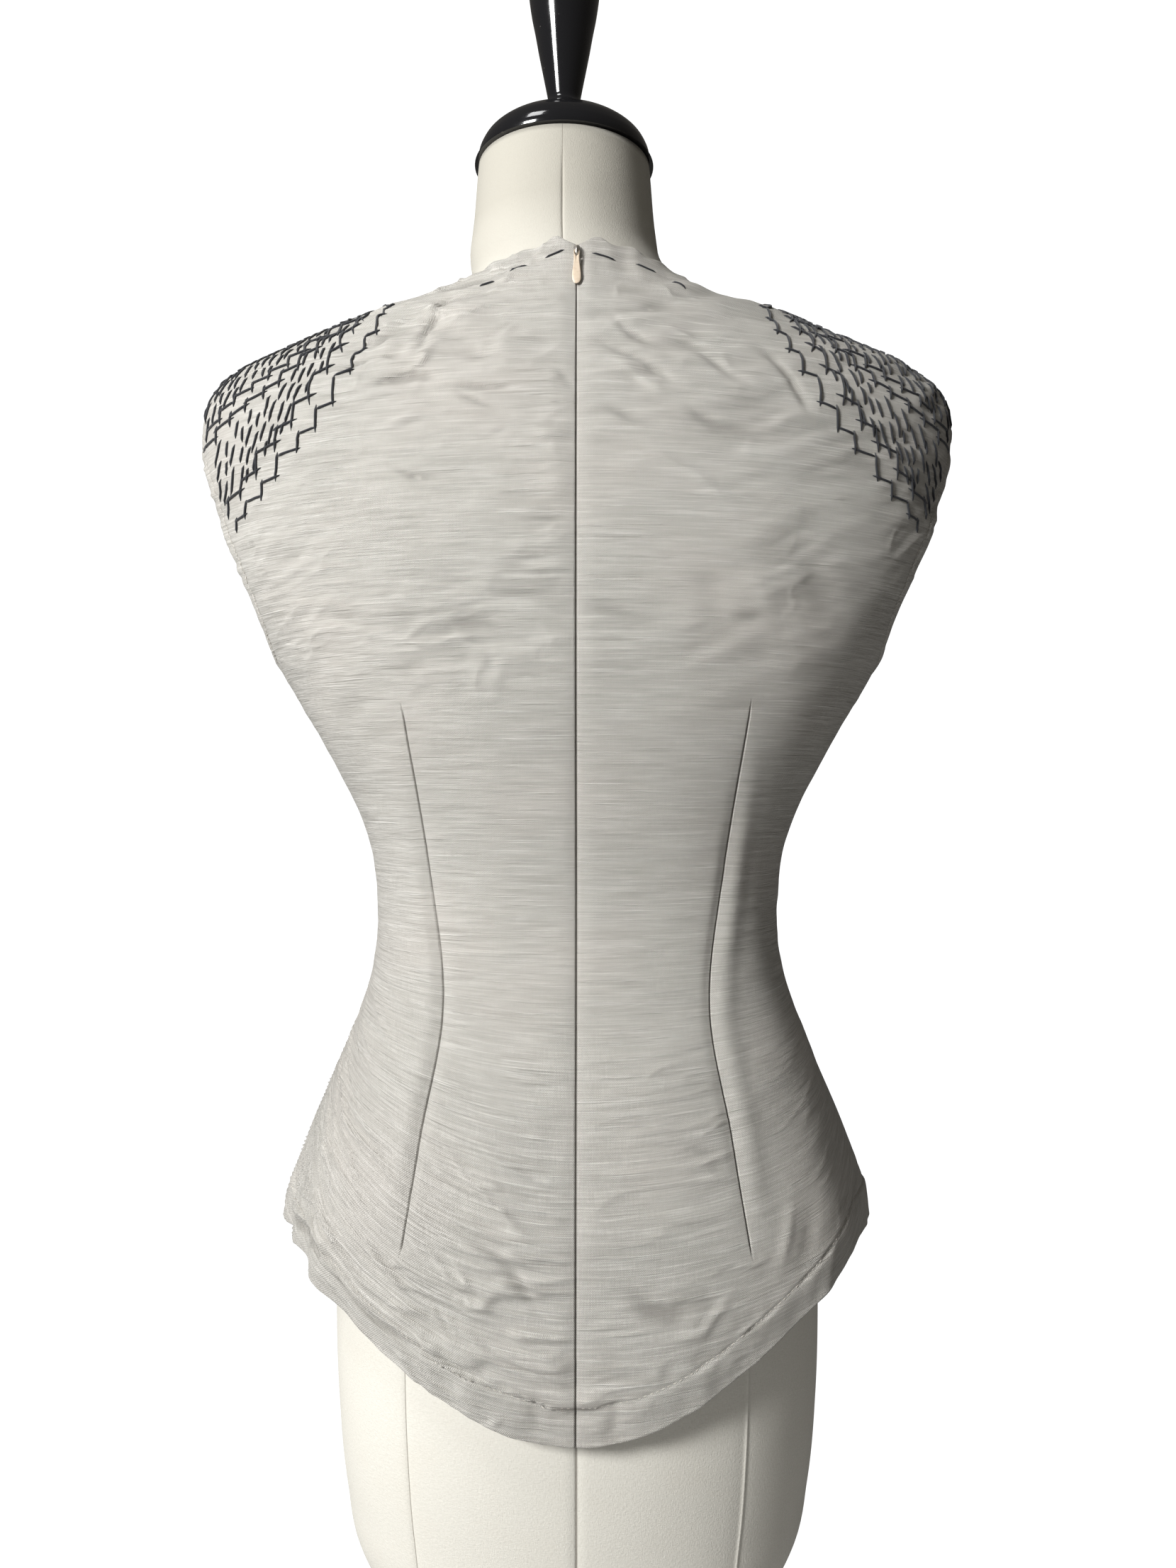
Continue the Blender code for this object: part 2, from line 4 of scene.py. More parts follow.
import bmesh
import bpy
import numpy as np
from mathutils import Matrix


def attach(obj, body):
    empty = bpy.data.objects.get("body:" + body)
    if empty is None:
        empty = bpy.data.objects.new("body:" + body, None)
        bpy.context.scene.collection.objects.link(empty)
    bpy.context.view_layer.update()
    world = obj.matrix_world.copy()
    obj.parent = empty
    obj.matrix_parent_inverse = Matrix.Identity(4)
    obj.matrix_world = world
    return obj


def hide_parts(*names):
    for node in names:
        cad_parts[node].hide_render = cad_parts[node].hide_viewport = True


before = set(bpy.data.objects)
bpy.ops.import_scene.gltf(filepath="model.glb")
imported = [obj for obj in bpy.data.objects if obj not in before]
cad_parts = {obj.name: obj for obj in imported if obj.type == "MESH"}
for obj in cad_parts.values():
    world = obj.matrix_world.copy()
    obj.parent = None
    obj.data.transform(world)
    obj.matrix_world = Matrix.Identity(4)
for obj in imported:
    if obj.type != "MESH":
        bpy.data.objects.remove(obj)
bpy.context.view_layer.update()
CM = 0.01

# %% [markdown]
# ## The camera
# The picture was taken from close by, level with the waist, and looks straight along +Y. A focal length
# in pixels turns into Blender's millimetres by way of the long side of the picture.
# %% Make the camera
IMAGE_LONG_SIDE = 2212
FOCAL_PIXELS = 1665.0
EYE = (0.006, -0.695, 0.475)

lens = bpy.data.cameras.new("photo_camera")
lens.sensor_width = 36.0
lens.lens = FOCAL_PIXELS / IMAGE_LONG_SIDE * lens.sensor_width
lens.clip_start = 0.01
camera = bpy.data.objects.new("photo_camera", lens)
camera.location = EYE
camera.rotation_euler = (radians(90), 0, 0)
bpy.context.scene.collection.objects.link(camera)
bpy.context.scene.camera = camera
print("lens, mm:", round(lens.lens, 2))

# %% [markdown]
# ## Light
# Light comes from a window at the left of the camera and above it, so the left of the back is bright and
# the far right falls into shade. A second, weaker light high at the left rakes the creases from above, and
# a faint warm light from all round keeps the shade readable. The white behind is only what the camera sees.
# %% Lights and surroundings
WINDOW = {"place": (-1.36, -1.50, 1.26), "aim": (0.0, 0.0, 0.44), "size": 0.50, "watts": 67.0}
UPPER = {"place": (-0.75, -0.80, 2.10), "aim": (0.0, 0.0, 0.55), "size": 0.45, "watts": 9.0}
SURROUND = 0.10
WHITE = 1.12
bpy.context.scene.view_settings.view_transform = "Standard"


def aim_at(thing, target):
    """Turns a light so that its -Z axis points from its place to the target."""
    away = np.array(thing.location) - np.array(target)
    thing.rotation_euler = (np.arctan2(np.hypot(away[0], away[1]), away[2]), 0,
                            np.arctan2(away[0], -away[1]))


def area_light(name, place, aim, size, watts, colour=(1.0, 1.0, 1.0)):
    """A soft square light."""
    light = bpy.data.lights.new(name, "AREA")
    light.size, light.energy, light.color = size, watts, colour
    thing = bpy.data.objects.new(name, light)
    thing.location = place
    aim_at(thing, aim)
    bpy.context.scene.collection.objects.link(thing)
    return thing


area_light("window_light", **WINDOW)
area_light("upper_light", **UPPER)

world = bpy.data.worlds.new("studio")
bpy.context.scene.world = world
world.use_nodes = True
studio = world.node_tree
surround = studio.nodes["Background"]
surround.inputs["Color"].default_value = (1.0, 0.94, 0.85, 1.0)
surround.inputs["Strength"].default_value = SURROUND
backdrop = studio.nodes.new("ShaderNodeBackground")
backdrop.inputs["Color"].default_value = (1.0, 1.0, 1.0, 1.0)
backdrop.inputs["Strength"].default_value = WHITE
rays = studio.nodes.new("ShaderNodeLightPath")
either = studio.nodes.new("ShaderNodeMixShader")
studio.links.new(rays.outputs["Is Camera Ray"], either.inputs["Fac"])
studio.links.new(surround.outputs[0], either.inputs[1])
studio.links.new(backdrop.outputs[0], either.inputs[2])
studio.links.new(either.outputs[0], studio.nodes["World Output"].inputs["Surface"])

# %% [markdown]
# ## Helpers for meshes
# Every new surface is a grid of points worked out at once with numpy. One helper joins a grid into
# quads, and one turns an outer and an inner grid into a closed sheet of cloth with rounded edges.
# %% Mesh helpers
def grid_quads(index):
    """Four corners of each cell of a grid of point numbers."""
    return np.stack([index[:-1, :-1], index[:-1, 1:], index[1:, 1:], index[1:, :-1]], -1).reshape(-1, 4)


def make_piece(name, points, faces, flat_map=None, smooth=True):
    """Puts points in centimetres and a list of faces into a mesh object, with a UV map in centimetres."""
    mesh = bpy.data.meshes.new(name)
    mesh.from_pydata((np.asarray(points) * CM).tolist(), [], faces)
    if flat_map is not None:
        layer = mesh.uv_layers.new(name="cloth")
        corner = np.empty(len(mesh.loops), dtype=np.int32)
        mesh.loops.foreach_get("vertex_index", corner)
        layer.uv.foreach_set("vector", np.asarray(flat_map, dtype=np.float32)[corner].ravel())
    if smooth:
        mesh.shade_smooth()
    mesh.update()
    piece = bpy.data.objects.new(name, mesh)
    bpy.context.scene.collection.objects.link(piece)
    return piece


def rim_of(index):
    """Point numbers once round the edge of a grid."""
    return np.concatenate([index[0, :-1], index[:-1, -1], index[-1, :0:-1], index[:0:-1, 0]])


def every(count, stride):
    """First, last and about every stride-th number below count."""
    return np.unique(np.round(np.linspace(0, count - 1, max(2, (count - 1) // stride + 1))).astype(int))


def sheet_piece(name, outer, inner, picks, flat_map, bulge, flip=False, dark_seam_and_painted_shade=None):
    """A closed sheet: a fine outer grid, a coarse inner one at the picked rows and columns, and a rim.

    The rim has a loop half way between, moved outwards by bulge, so the edge is round."""
    rows, columns = outer.shape[:2]
    index = np.arange(rows * columns).reshape(rows, columns)
    rim = rim_of(index)
    inward = np.concatenate([index[1, :-1], index[:-1, -2], index[-2, :0:-1], index[:0:-1, 1]])
    top = outer.reshape(-1, 3)
    picked = index[np.ix_(*picks)]
    coarse = np.arange(picked.size).reshape(picked.shape)
    where = np.full(index.size, -1)
    where[rim] = np.arange(len(rim))
    stops = where[rim_of(picked)]
    low_rim = rim_of(coarse)
    under = inner.reshape(-1, 3)
    ahead_stops = np.append(stops[1:], len(rim))
    away = top[rim] - top[inward]
    away /= np.maximum(np.linalg.norm(away, axis=1, keepdims=True), 1e-6)
    below = np.stack([np.interp(np.arange(len(rim)), np.append(stops, len(rim)),
                                np.append(under[low_rim, k], under[low_rim[0], k])) for k in range(3)], -1)
    middle = (top[rim] + below) / 2 + away * bulge
    here, ahead = np.arange(len(rim)), np.roll(np.arange(len(rim)), -1)
    first_middle, first_low = rows * columns, rows * columns + len(rim)
    wall = np.stack([rim[ahead], rim[here], first_middle + here, first_middle + ahead], -1)
    faces = np.concatenate([grid_quads(index), wall]).tolist()
    faces += (grid_quads(coarse)[:, ::-1] + first_low).tolist()
    low_ahead = np.roll(low_rim, -1)
    spans = zip(*(numbers.tolist() for numbers in (stops, ahead_stops, low_rim, low_ahead)))
    faces += [[first_middle + k % len(rim) for k in range(end, start - 1, -1)]
              + [first_low + a, first_low + b] for start, end, a, b in spans]
    if flip:
        faces = [face[::-1] for face in faces]
    flat = flat_map.reshape(-1, 2)
    piece = make_piece(name, np.concatenate([top, middle, under]), faces,
                       np.concatenate([flat, flat[rim], flat[picked.ravel()]]))
    # The painted shade of seams and crease hollows is kept on the points, for the cloth's finish.
    if dark_seam_and_painted_shade is not None:
        values = dark_seam_and_painted_shade.ravel()
        layer = piece.data.attributes.new("dark_seam_and_painted_shade", "FLOAT", "POINT")
        values = np.concatenate([values, values[rim], values[picked.ravel()]])
        layer.data.foreach_set("value", values.astype(np.float32))
    return piece


# %% [markdown]
# ## The body that the vest wraps
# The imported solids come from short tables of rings. The same tables are written here again, because the
# fine cloth has to lie on the same form. A place is an angle from the centre back, a height, and a side.
# %% Ring tables
def named(columns, rows):
    """A short table as one array for each named column."""
    return dict(zip(columns, np.array(rows, dtype=float).T))


RING = ("height", "half_width", "back", "front")
VEST_RINGS = named(RING, (
    (13.0, 16.8, 12.3, 12.7), (20.0, 16.9, 12.2, 12.5), (23.0, 16.8, 11.9, 12.2), (25.0, 16.25, 11.7, 11.9),
    (27.0, 15.55, 11.3, 11.6), (29.0, 14.85, 10.9, 11.3), (31.0, 14.05, 10.4, 10.9), (33.0, 13.25, 9.8, 10.5),
    (35.0, 12.45, 9.1, 10.2), (37.0, 11.85, 8.6, 10.0), (39.5, 11.55, 8.2, 9.9), (41.5, 11.6, 8.1, 10.0),
    (43.5, 11.85, 8.3, 10.4), (45.7, 12.55, 8.7, 11.0), (48.0, 13.65, 9.2, 11.9), (50.0, 14.75, 9.7, 12.6),
    (52.0, 15.9, 10.1, 13.1), (54.2, 17.2, 10.4, 13.2), (56.6, 18.65, 10.6, 12.9), (59.4, 20.15, 10.7, 12.2),
    (61.5, 20.9, 10.6, 11.5), (63.7, 21.4, 10.4, 10.7), (65.7, 21.7, 10.1, 9.9), (67.2, 21.75, 9.8, 9.3),
    (68.2, 21.75, 9.55, 8.8), (69.2, 21.55, 9.3, 8.4), (70.1, 21.05, 9.05, 8.0), (71.1, 19.95, 8.8, 7.65),
    (72.1, 18.0, 8.5, 7.3), (73.2, 15.6, 8.1, 7.0), (74.2, 13.0, 7.6, 6.7), (75.1, 9.3, 7.05, 6.4),
    (75.8, 7.5, 6.7, 6.2), (76.6, 6.75, 6.3, 6.05), (77.6, 6.5, 6.0, 5.9),
))
SQUARENESS = named(("height", "power"), (
    (0.0, 2.25), (64.0, 2.25), (68.2, 2.15), (70.1, 1.95), (72.1, 1.75), (74.2, 1.62), (75.4, 1.70),
    (76.6, 1.92), (78.0, 2.00), (84.0, 2.00),
))
FORM_RINGS = named(RING, (
    (0.0, 8.4, 5.6, 5.6), (0.5, 9.8, 7.0, 7.0), (1.4, 10.6, 7.8, 7.8), (3.0, 11.8, 8.8, 8.7),
    (5.0, 12.8, 9.5, 9.3), (8.0, 13.35, 10.0, 9.7), (13.0, 13.75, 10.6, 10.2), (18.0, 13.85, 10.8, 10.4),
    (23.0, 13.8, 10.8, 10.5), (26.0, 13.5, 10.5, 10.4), (30.0, 12.9, 9.7, 10.2), (33.0, 12.2, 8.9, 9.8),
    (36.0, 11.5, 8.2, 9.5), (39.0, 11.1, 7.7, 9.35), (42.0, 11.2, 7.6, 9.5), (45.0, 11.9, 8.0, 10.3),
    (48.0, 13.1, 8.7, 11.4), (51.0, 14.4, 9.3, 12.4), (54.0, 15.4, 9.8, 12.7), (58.0, 16.2, 10.1, 12.0),
    (62.0, 16.9, 10.0, 10.8), (66.0, 17.3, 9.5, 9.3), (68.5, 17.4, 9.0, 8.2), (70.2, 17.15, 8.55, 7.5),
    (71.4, 16.6, 8.2, 7.05), (72.4, 15.7, 7.85, 6.75), (73.3, 14.2, 7.5, 6.45), (74.2, 12.1, 7.05, 6.15),
    (75.0, 9.1, 6.55, 5.9), (75.7, 7.0, 6.1, 5.75), (76.6, 6.0, 5.7, 5.6), (77.6, 5.7, 5.5, 5.45),
    (79.0, 5.5, 5.3, 5.3), (81.0, 5.25, 5.15, 5.15), (83.65, 5.0, 5.0, 5.0),
))
SEAT_DROP = 0.23
NECK_SHIFT, NECK_SHIFT_FROM, NECK_SHIFT_TO = -0.80, 75.6, 78.6
BUST_ANGLE, BUST_SPREAD, BUST_HEIGHT, BUST_TALL, BUST_RISE = radians(27.0), radians(15.0), 55.0, 4.6, 0.075
FLUTE_DEPTH, FLUTE_ANGLE, FLUTE_SPREAD, FLUTE_TOP, FLUTE_FULL = 0.32, radians(42.0), radians(48.0), 33.0, 22.0
print("vest rings:", len(VEST_RINGS["height"]), "form rings:", len(FORM_RINGS["height"]))

# %% Surfaces of the body and of the dress form
def smooth(table, column, at):
    """Cubic curve through a column over the table's first one; a row's slope is its neighbours' mean."""
    x, y = next(iter(table.values())), table[column]
    slope = np.gradient(y, x)
    at = np.clip(np.asarray(at, dtype=float), x[0], x[-1])
    i = np.clip(np.searchsorted(x, at) - 1, 0, len(x) - 2)
    step = x[i + 1] - x[i]
    t = (at - x[i]) / step
    start = (1 + 2 * t) * (1 - t) ** 2 * y[i] + t * (1 - t) ** 2 * step * slope[i]
    end = t * t * (3 - 2 * t) * y[i + 1] + t * t * (t - 1) * step * slope[i + 1]
    return start + end


def ease(value):
    """0 below 0, 1 above 1, and a soft S between."""
    value = np.clip(value, 0.0, 1.0)
    return value * value * (3 - 2 * value)


def bell(distance, width):
    """1 on a line, fading to 0 on both sides: e to the minus square of the distance over the width."""
    return np.exp(-(distance / width) ** 2)


def oval(half_width, back, front, angle, height):
    """A point on a rounded oval; the back and the front half have their own depth."""
    across, along = np.sin(angle), np.cos(angle)
    depth = np.where(along > 0, back, front)
    power = 2 / smooth(SQUARENESS, "power", height)
    return (half_width * np.sign(across) * np.abs(across) ** power,
            -depth * np.sign(along) * np.abs(along) ** power)


def bust(angle, height):
    """How much wider the body is at the bust than its oval."""
    from_front = np.abs(np.pi - np.mod(angle, 2 * np.pi))
    swell = bell(from_front - BUST_ANGLE, BUST_SPREAD)
    return 1 + BUST_RISE * swell * bell(height - BUST_HEIGHT, BUST_TALL)


def flutes(angle, height):
    """Soft waves of the flared hem, strongest at the side seams."""
    from_side = np.abs(np.abs(np.mod(angle + np.pi, 2 * np.pi) - np.pi) - np.pi / 2)
    wave = np.cos(2 * np.pi * from_side / FLUTE_ANGLE) * bell(from_side, FLUTE_SPREAD)
    return FLUTE_DEPTH * wave * ease((FLUTE_TOP - height) / (FLUTE_TOP - FLUTE_FULL))


def body(angle, height):
    """Outer surface of the vest with no seams or creases."""
    half_width, back, front = (smooth(VEST_RINGS, column, height) for column in RING[1:])
    x, y = oval(half_width, back, front, angle, height)
    scale = bust(angle, height) + flutes(angle, height) / np.hypot(x, y)
    return np.stack([x * scale, y * scale, height + 0 * x], axis=-1)


def outward(surface, angle, height):
    """Unit normal of a surface, from its slopes along the angle and the height."""
    turn, rise = radians(0.5), 0.05
    around = surface(angle + turn, height) - surface(angle - turn, height)
    up = surface(angle, height + rise) - surface(angle, height - rise)
    normal = np.cross(around, up)
    return normal / np.linalg.norm(normal, axis=-1, keepdims=True)


def form_surface(angle, height):
    """Outer surface of the dress form."""
    seat = np.minimum(height + SEAT_DROP, VEST_RINGS["height"][-1])
    limit = np.where(height > BUST_HEIGHT, smooth(VEST_RINGS, "half_width", seat), np.inf)
    half_width = np.minimum(smooth(FORM_RINGS, "half_width", height), limit)
    x, y = oval(half_width, smooth(FORM_RINGS, "back", height), smooth(FORM_RINGS, "front", height),
                angle, height)
    scale = bust(angle, height)
    shift = NECK_SHIFT * ease((height - NECK_SHIFT_FROM) / (NECK_SHIFT_TO - NECK_SHIFT_FROM))
    return np.stack([x * scale + shift, y * scale, height + 0 * x], axis=-1)


# %% [markdown]
# ## Distances on the cloth
# Creases, seams and the weave follow the cloth, so they need lengths along it and not angles. A table
# of arc lengths round half the body gives the distance from the centre back at any angle and height.
# %% Arc length table
ARC_ANGLES = np.linspace(0.0, np.pi, 241)
ARC_HEIGHTS = np.linspace(13.0, 77.6, 260)
rings = body(*np.broadcast_arrays(ARC_ANGLES[None], ARC_HEIGHTS[:, None]))
ARC_TABLE = np.concatenate([np.zeros((len(ARC_HEIGHTS), 1)),
                            np.cumsum(np.linalg.norm(np.diff(rings, axis=1), axis=-1), axis=1)], axis=1)


def arc(angle, height):
    """Distance from the centre back along the ring, read from the table with straight lines between."""
    a = np.clip(angle / ARC_ANGLES[1], 0, len(ARC_ANGLES) - 1.001)
    h = np.clip((height - ARC_HEIGHTS[0]) / (ARC_HEIGHTS[1] - ARC_HEIGHTS[0]), 0, len(ARC_HEIGHTS) - 1.001)
    i, j = h.astype(int), a.astype(int)
    fh, fa = h - i, a - j
    low = ARC_TABLE[i, j] * (1 - fa) + ARC_TABLE[i, j + 1] * fa
    high = ARC_TABLE[i + 1, j] * (1 - fa) + ARC_TABLE[i + 1, j + 1] * fa
    return low * (1 - fh) + high * fh


def angle_at(across, height):
    """Angle on the back half at which the ring is that far across."""
    share = np.clip(across / smooth(VEST_RINGS, "half_width", height), 0, 1)
    return np.arcsin(share ** (smooth(SQUARENESS, "power", height) / 2))


print("half round at the waist, cm:", round(float(arc(np.array(np.pi), np.array(40.0))), 1))

# %% Edges and darts of the vest
HEM = {"side": 22.8, "back": 15.2, "front": 17.8}
UNDERARM, SHOULDER_TIP, NECK_POINT = 54.2, 68.2, 75.75
NECK = {"back": 76.80, "front": 71.0}
NECK_NOTCH, NECK_PEAK, PEAK_FROM_CENTRE, PEAK_WIDTH = 0.38, 0.25, 1.1, 0.5
FRONT_ROW_DROP = 2.2
HEM_RISE_ANGLE, HEM_RISE_POWER = 1.3, 1.6
ARMHOLE = named(("way", "height", "back_angle", "front_angle"), (
    (0.00, 54.20, 0.0, 0.0), (0.12, 54.45, 11.5, 12.5), (0.28, 56.00, 20.5, 23.5), (0.46, 58.80, 25.0, 29.5),
    (0.62, 61.60, 22.5, 28.5), (0.78, 64.70, 17.0, 22.5), (0.91, 67.10, 9.0, 12.5), (1.00, 68.20, 0.0, 0.0),
))
DART = named(("height", "from_centre"), (
    (23.7, 8.85), (29.5, 8.00), (35.3, 7.05), (43.0, 7.90), (52.0, 9.05),
))
SEAM_GAP = 0.03


def dart_angle(height):
    """Angle of the waist dart from the centre of its half."""
    height = np.clip(height, DART["height"][0], DART["height"][-1])
    return angle_at(smooth(DART, "from_centre", height), height)


def hem_height(from_centre, front):
    """Height of the hem's edge at an angle from the centre of its half."""
    low = HEM["front" if front else "back"]
    share = np.sin(np.minimum(from_centre * HEM_RISE_ANGLE, np.pi / 2)) ** HEM_RISE_POWER
    return low + (HEM["side"] - low) * share


def armhole_line(front):
    """Angle and height along the armhole's edge, from the underarm to the shoulder tip."""
    way = np.linspace(0, 1, 90)
    inset = np.radians(smooth(ARMHOLE, "front_angle" if front else "back_angle", way))
    return (np.pi / 2 + inset if front else np.pi / 2 - inset), smooth(ARMHOLE, "height", way)


def distance_to_path(x, y, path):
    """Shortest distance from each point to a line through a path's points."""
    best = np.full(x.shape, np.inf)
    for (ax, ay), (bx, by) in zip(path, path[1:]):
        dx, dy = bx - ax, by - ay
        t = np.clip(((x - ax) * dx + (y - ay) * dy) / max(dx * dx + dy * dy, 1e-9), 0, 1)
        best = np.minimum(best, np.hypot(x - ax - t * dx, y - ay - t * dy))
    return best


ARMHOLE_PATHS = []
for is_front in (False, True):
    line_angle, line_height = armhole_line(is_front)
    ARMHOLE_PATHS.append(np.stack([arc(line_angle, line_height), line_height], -1)[::3])
print("armhole edge points:", [len(path) for path in ARMHOLE_PATHS])

# %% [markdown]
# ## Creases
# Creased silk and linen shows narrow raised ridges with flat cloth between them. Ridges that wander and
# fork on their own come from the places where a smooth noise crosses zero. The main folds that the
# picture shows are laid on top one by one, each as a short line with its own width and height.
# %% Noise for the creases
def lattice(i, j, seed):
    """A fixed number from -1 to 1 for each whole-number corner."""
    mixed = (i * 374761393 + j * 668265263 + seed * 974634777) & 0xFFFFFFFF
    mixed = ((mixed ^ (mixed >> 13)) * 1274126177) & 0xFFFFFFFF
    return ((mixed ^ (mixed >> 16)) & 0xFFFF) / 32767.5 - 1


def noise(x, y, seed):
    """Smooth noise from -1 to 1: corner numbers eased between."""
    i, j = np.floor(x).astype(np.int64), np.floor(y).astype(np.int64)
    fx, fy = ease(x - i), ease(y - j)
    low = lattice(i, j, seed) * (1 - fx) + lattice(i + 1, j, seed) * fx
    high = lattice(i, j + 1, seed) * (1 - fx) + lattice(i + 1, j + 1, seed) * fx
    return low * (1 - fy) + high * fy


def ridges(x, y, seed, sharp):
    """Narrow ridges of height 1 along the lines where a noise is zero."""
    field = noise(x, y, seed) + 0.45 * noise(2.1 * x, 2.1 * y, seed + 1)
    return bell(field, sharp)


# %% Main folds, laid one by one
# Each fold is a width, a height, and a path of places: distance from the centre back, height.
FOLD_SKIRT_TOP, FOLD_CHEST_FOOT = 33, 60
FOLD_NARROWER, FOLD_TALLER = 0.72, 1.7
LEFT_FOLDS = (
    (0.32, 0.18, ((18.2, 24.5), (14.7, 24.4), (13.8, 23.8), (13.5, 23.0), (12.1, 22.2), (10.7, 21.4),
                  (8.8, 20.4), (7.1, 19.8), (5.9, 18.8))),
    (0.26, -0.13, ((17.9, 23.9), (14.3, 23.6), (13.1, 22.7), (11.8, 21.6), (10.3, 20.7), (8.2, 19.8))),
    (0.24, 0.13, ((17.8, 25.3), (14.5, 25.5), (13.6, 24.9), (12.9, 24.0), (11.5, 22.7), (9.4, 21.6),
                  (7.8, 21.3))),
    (0.20, 0.11, ((12.9, 25.4), (11.9, 24.7), (10.1, 23.6), (8.9, 22.7), (7.3, 22.3))),
    (0.20, 0.10, ((11.6, 24.6), (10.8, 24.4), (9.7, 23.2), (8.4, 22.3), (7.1, 21.6), (6.4, 20.5))),
    (0.22, 0.10, ((13.9, 29.7), (10.9, 28.7), (9.3, 27.3), (8.5, 26.8))),
    (0.20, 0.09, ((13.3, 29.2), (12.4, 28.1), (11.9, 27.0), (11.3, 26.1))),
    (0.22, 0.08, ((15.6, 31.8), (13.4, 31.0), (11.6, 29.6), (10.2, 29.0))),
    (0.20, 0.08, ((16.0, 28.6), (14.6, 27.6), (13.8, 26.6), (12.2, 25.8))),
    (0.20, 0.10, ((5.2, 28.0), (4.1, 26.7), (3.0, 26.0))),
    (0.20, 0.09, ((5.1, 29.6), (3.7, 28.7), (1.9, 27.8))),
    (0.18, 0.08, ((6.6, 29.2), (5.2, 27.6), (3.9, 27.0))),
    (0.20, 0.10, ((6.2, 24.1), (5.2, 22.8), (4.1, 22.4))),
    (0.20, 0.10, ((6.6, 21.5), (5.9, 20.7), (4.2, 20.1))),
    (0.18, 0.08, ((7.6, 24.6), (6.3, 23.2), (5.0, 22.0), (3.2, 21.4))),
    (0.18, 0.08, ((5.2, 20.2), (3.6, 19.2), (1.8, 18.6))),
    (0.32, -0.05, ((3.8, 24.4), (2.5, 22.7), (1.7, 21.2))),
    (0.28, -0.05, ((6.5, 25.9), (5.2, 25.0), (3.9, 24.2), (2.7, 22.9), (2.1, 21.8))),
    (0.16, 0.09, ((8.0, 23.5), (9.0, 23.55), (9.9, 23.3))),
    (0.30, -0.09, ((8.3, 69.9), (7.1, 73.2), (5.4, 73.4), (3.5, 73.2))),
    (0.26, -0.08, ((11.0, 70.6), (9.2, 71.1), (7.4, 71.0))),
    (0.24, -0.09, ((12.2, 69.3), (9.9, 69.7), (8.0, 69.5))),
    (0.26, -0.09, ((10.8, 68.2), (8.9, 68.5), (7.2, 68.3))),
    (0.24, 0.07, ((11.8, 67.3), (9.6, 67.6), (7.8, 67.4))),
    (0.20, -0.07, ((5.8, 69.4), (4.3, 69.4))),
    (0.22, -0.09, ((6.4, 67.8), (5.0, 67.7), (3.0, 67.7))),
    (0.22, -0.08, ((6.1, 67.4), (4.2, 66.5))),
    (0.26, -0.08, ((1.1, 68.8), (0.3, 67.8))),
    (0.24, -0.08, ((9.6, 63.6), (8.2, 63.0), (7.0, 62.9))),
    (0.26, 0.07, ((10.2, 65.6), (8.4, 66.2), (6.8, 66.0))),
    (0.70, -0.05, ((9.2, 56.8), (8.6, 54.8), (8.3, 52.8))),
)
RIGHT_FOLDS = (
    (0.26, 0.11, ((6.1, 28.6), (7.0, 27.8), (7.7, 27.6))),
    (0.26, 0.09, ((6.9, 26.2), (8.1, 25.8))),
    (0.30, 0.09, ((5.2, 30.9), (6.4, 30.2), (7.4, 30.3))),
    (0.30, -0.08, ((5.0, 29.6), (6.4, 29.0), (7.6, 29.1))),
    (0.50, -0.14, ((2.2, 22.9), (3.6, 21.8), (4.7, 21.5), (6.1, 22.4))),
    (0.40, -0.20, ((6.4, 22.1), (6.9, 21.4))),
    (0.40, 0.12, ((4.6, 20.4), (6.2, 20.6), (7.8, 22.2))),
    (0.45, -0.16, ((6.2, 19.4), (7.0, 18.9))),
    (0.45, -0.16, ((8.7, 20.5), (9.5, 19.8))),
    (0.16, 0.09, ((8.1, 23.5), (9.0, 23.5), (9.8, 23.7))),
    (0.50, -0.10, ((12.6, 26.0), (12.2, 24.0), (11.4, 22.4))),
    (0.45, 0.10, ((11.4, 26.4), (11.0, 24.6), (10.4, 22.8))),
    (0.28, -0.10, ((2.0, 71.5), (2.7, 70.7), (3.6, 70.2), (4.7, 69.8))),
    (0.28, -0.10, ((1.2, 70.1), (2.2, 69.6), (3.4, 69.1), (5.0, 67.9))),
    (0.26, 0.08, ((1.8, 69.2), (3.2, 68.3), (4.6, 67.3))),
    (0.30, -0.09, ((1.5, 66.6), (2.7, 65.9), (4.1, 65.8))),
    (0.26, 0.08, ((4.6, 71.2), (6.2, 70.4), (8.4, 69.8))),
    (0.30, -0.10, ((6.0, 70.0), (7.8, 68.6), (9.2, 67.9))),
    (0.28, -0.08, ((5.6, 66.6), (7.2, 65.6), (9.4, 65.2))),
    (0.26, 0.07, ((3.6, 64.2), (5.8, 63.2), (7.6, 62.0))),
    (0.34, -0.09, ((9.8, 70.2), (11.2, 68.6), (12.2, 66.6))),
    (0.80, 0.10, ((8.2, 58.6), (9.6, 57.2), (10.6, 55.0))),
    (0.80, -0.10, ((10.6, 60.0), (12.2, 58.4), (13.6, 56.0))),
    (0.70, -0.08, ((6.2, 58.2), (7.0, 56.4), (7.6, 54.0))),
)
FRONT_FOLDS = (
    (0.40, 0.09, ((29.4, 26.6), (27.6, 25.0), (25.2, 23.6))),
    (0.50, -0.09, ((27.0, 28.8), (28.8, 26.2), (31.2, 24.0))),
    (0.40, 0.08, ((31.0, 62.0), (29.4, 60.2), (26.6, 59.0))),
)


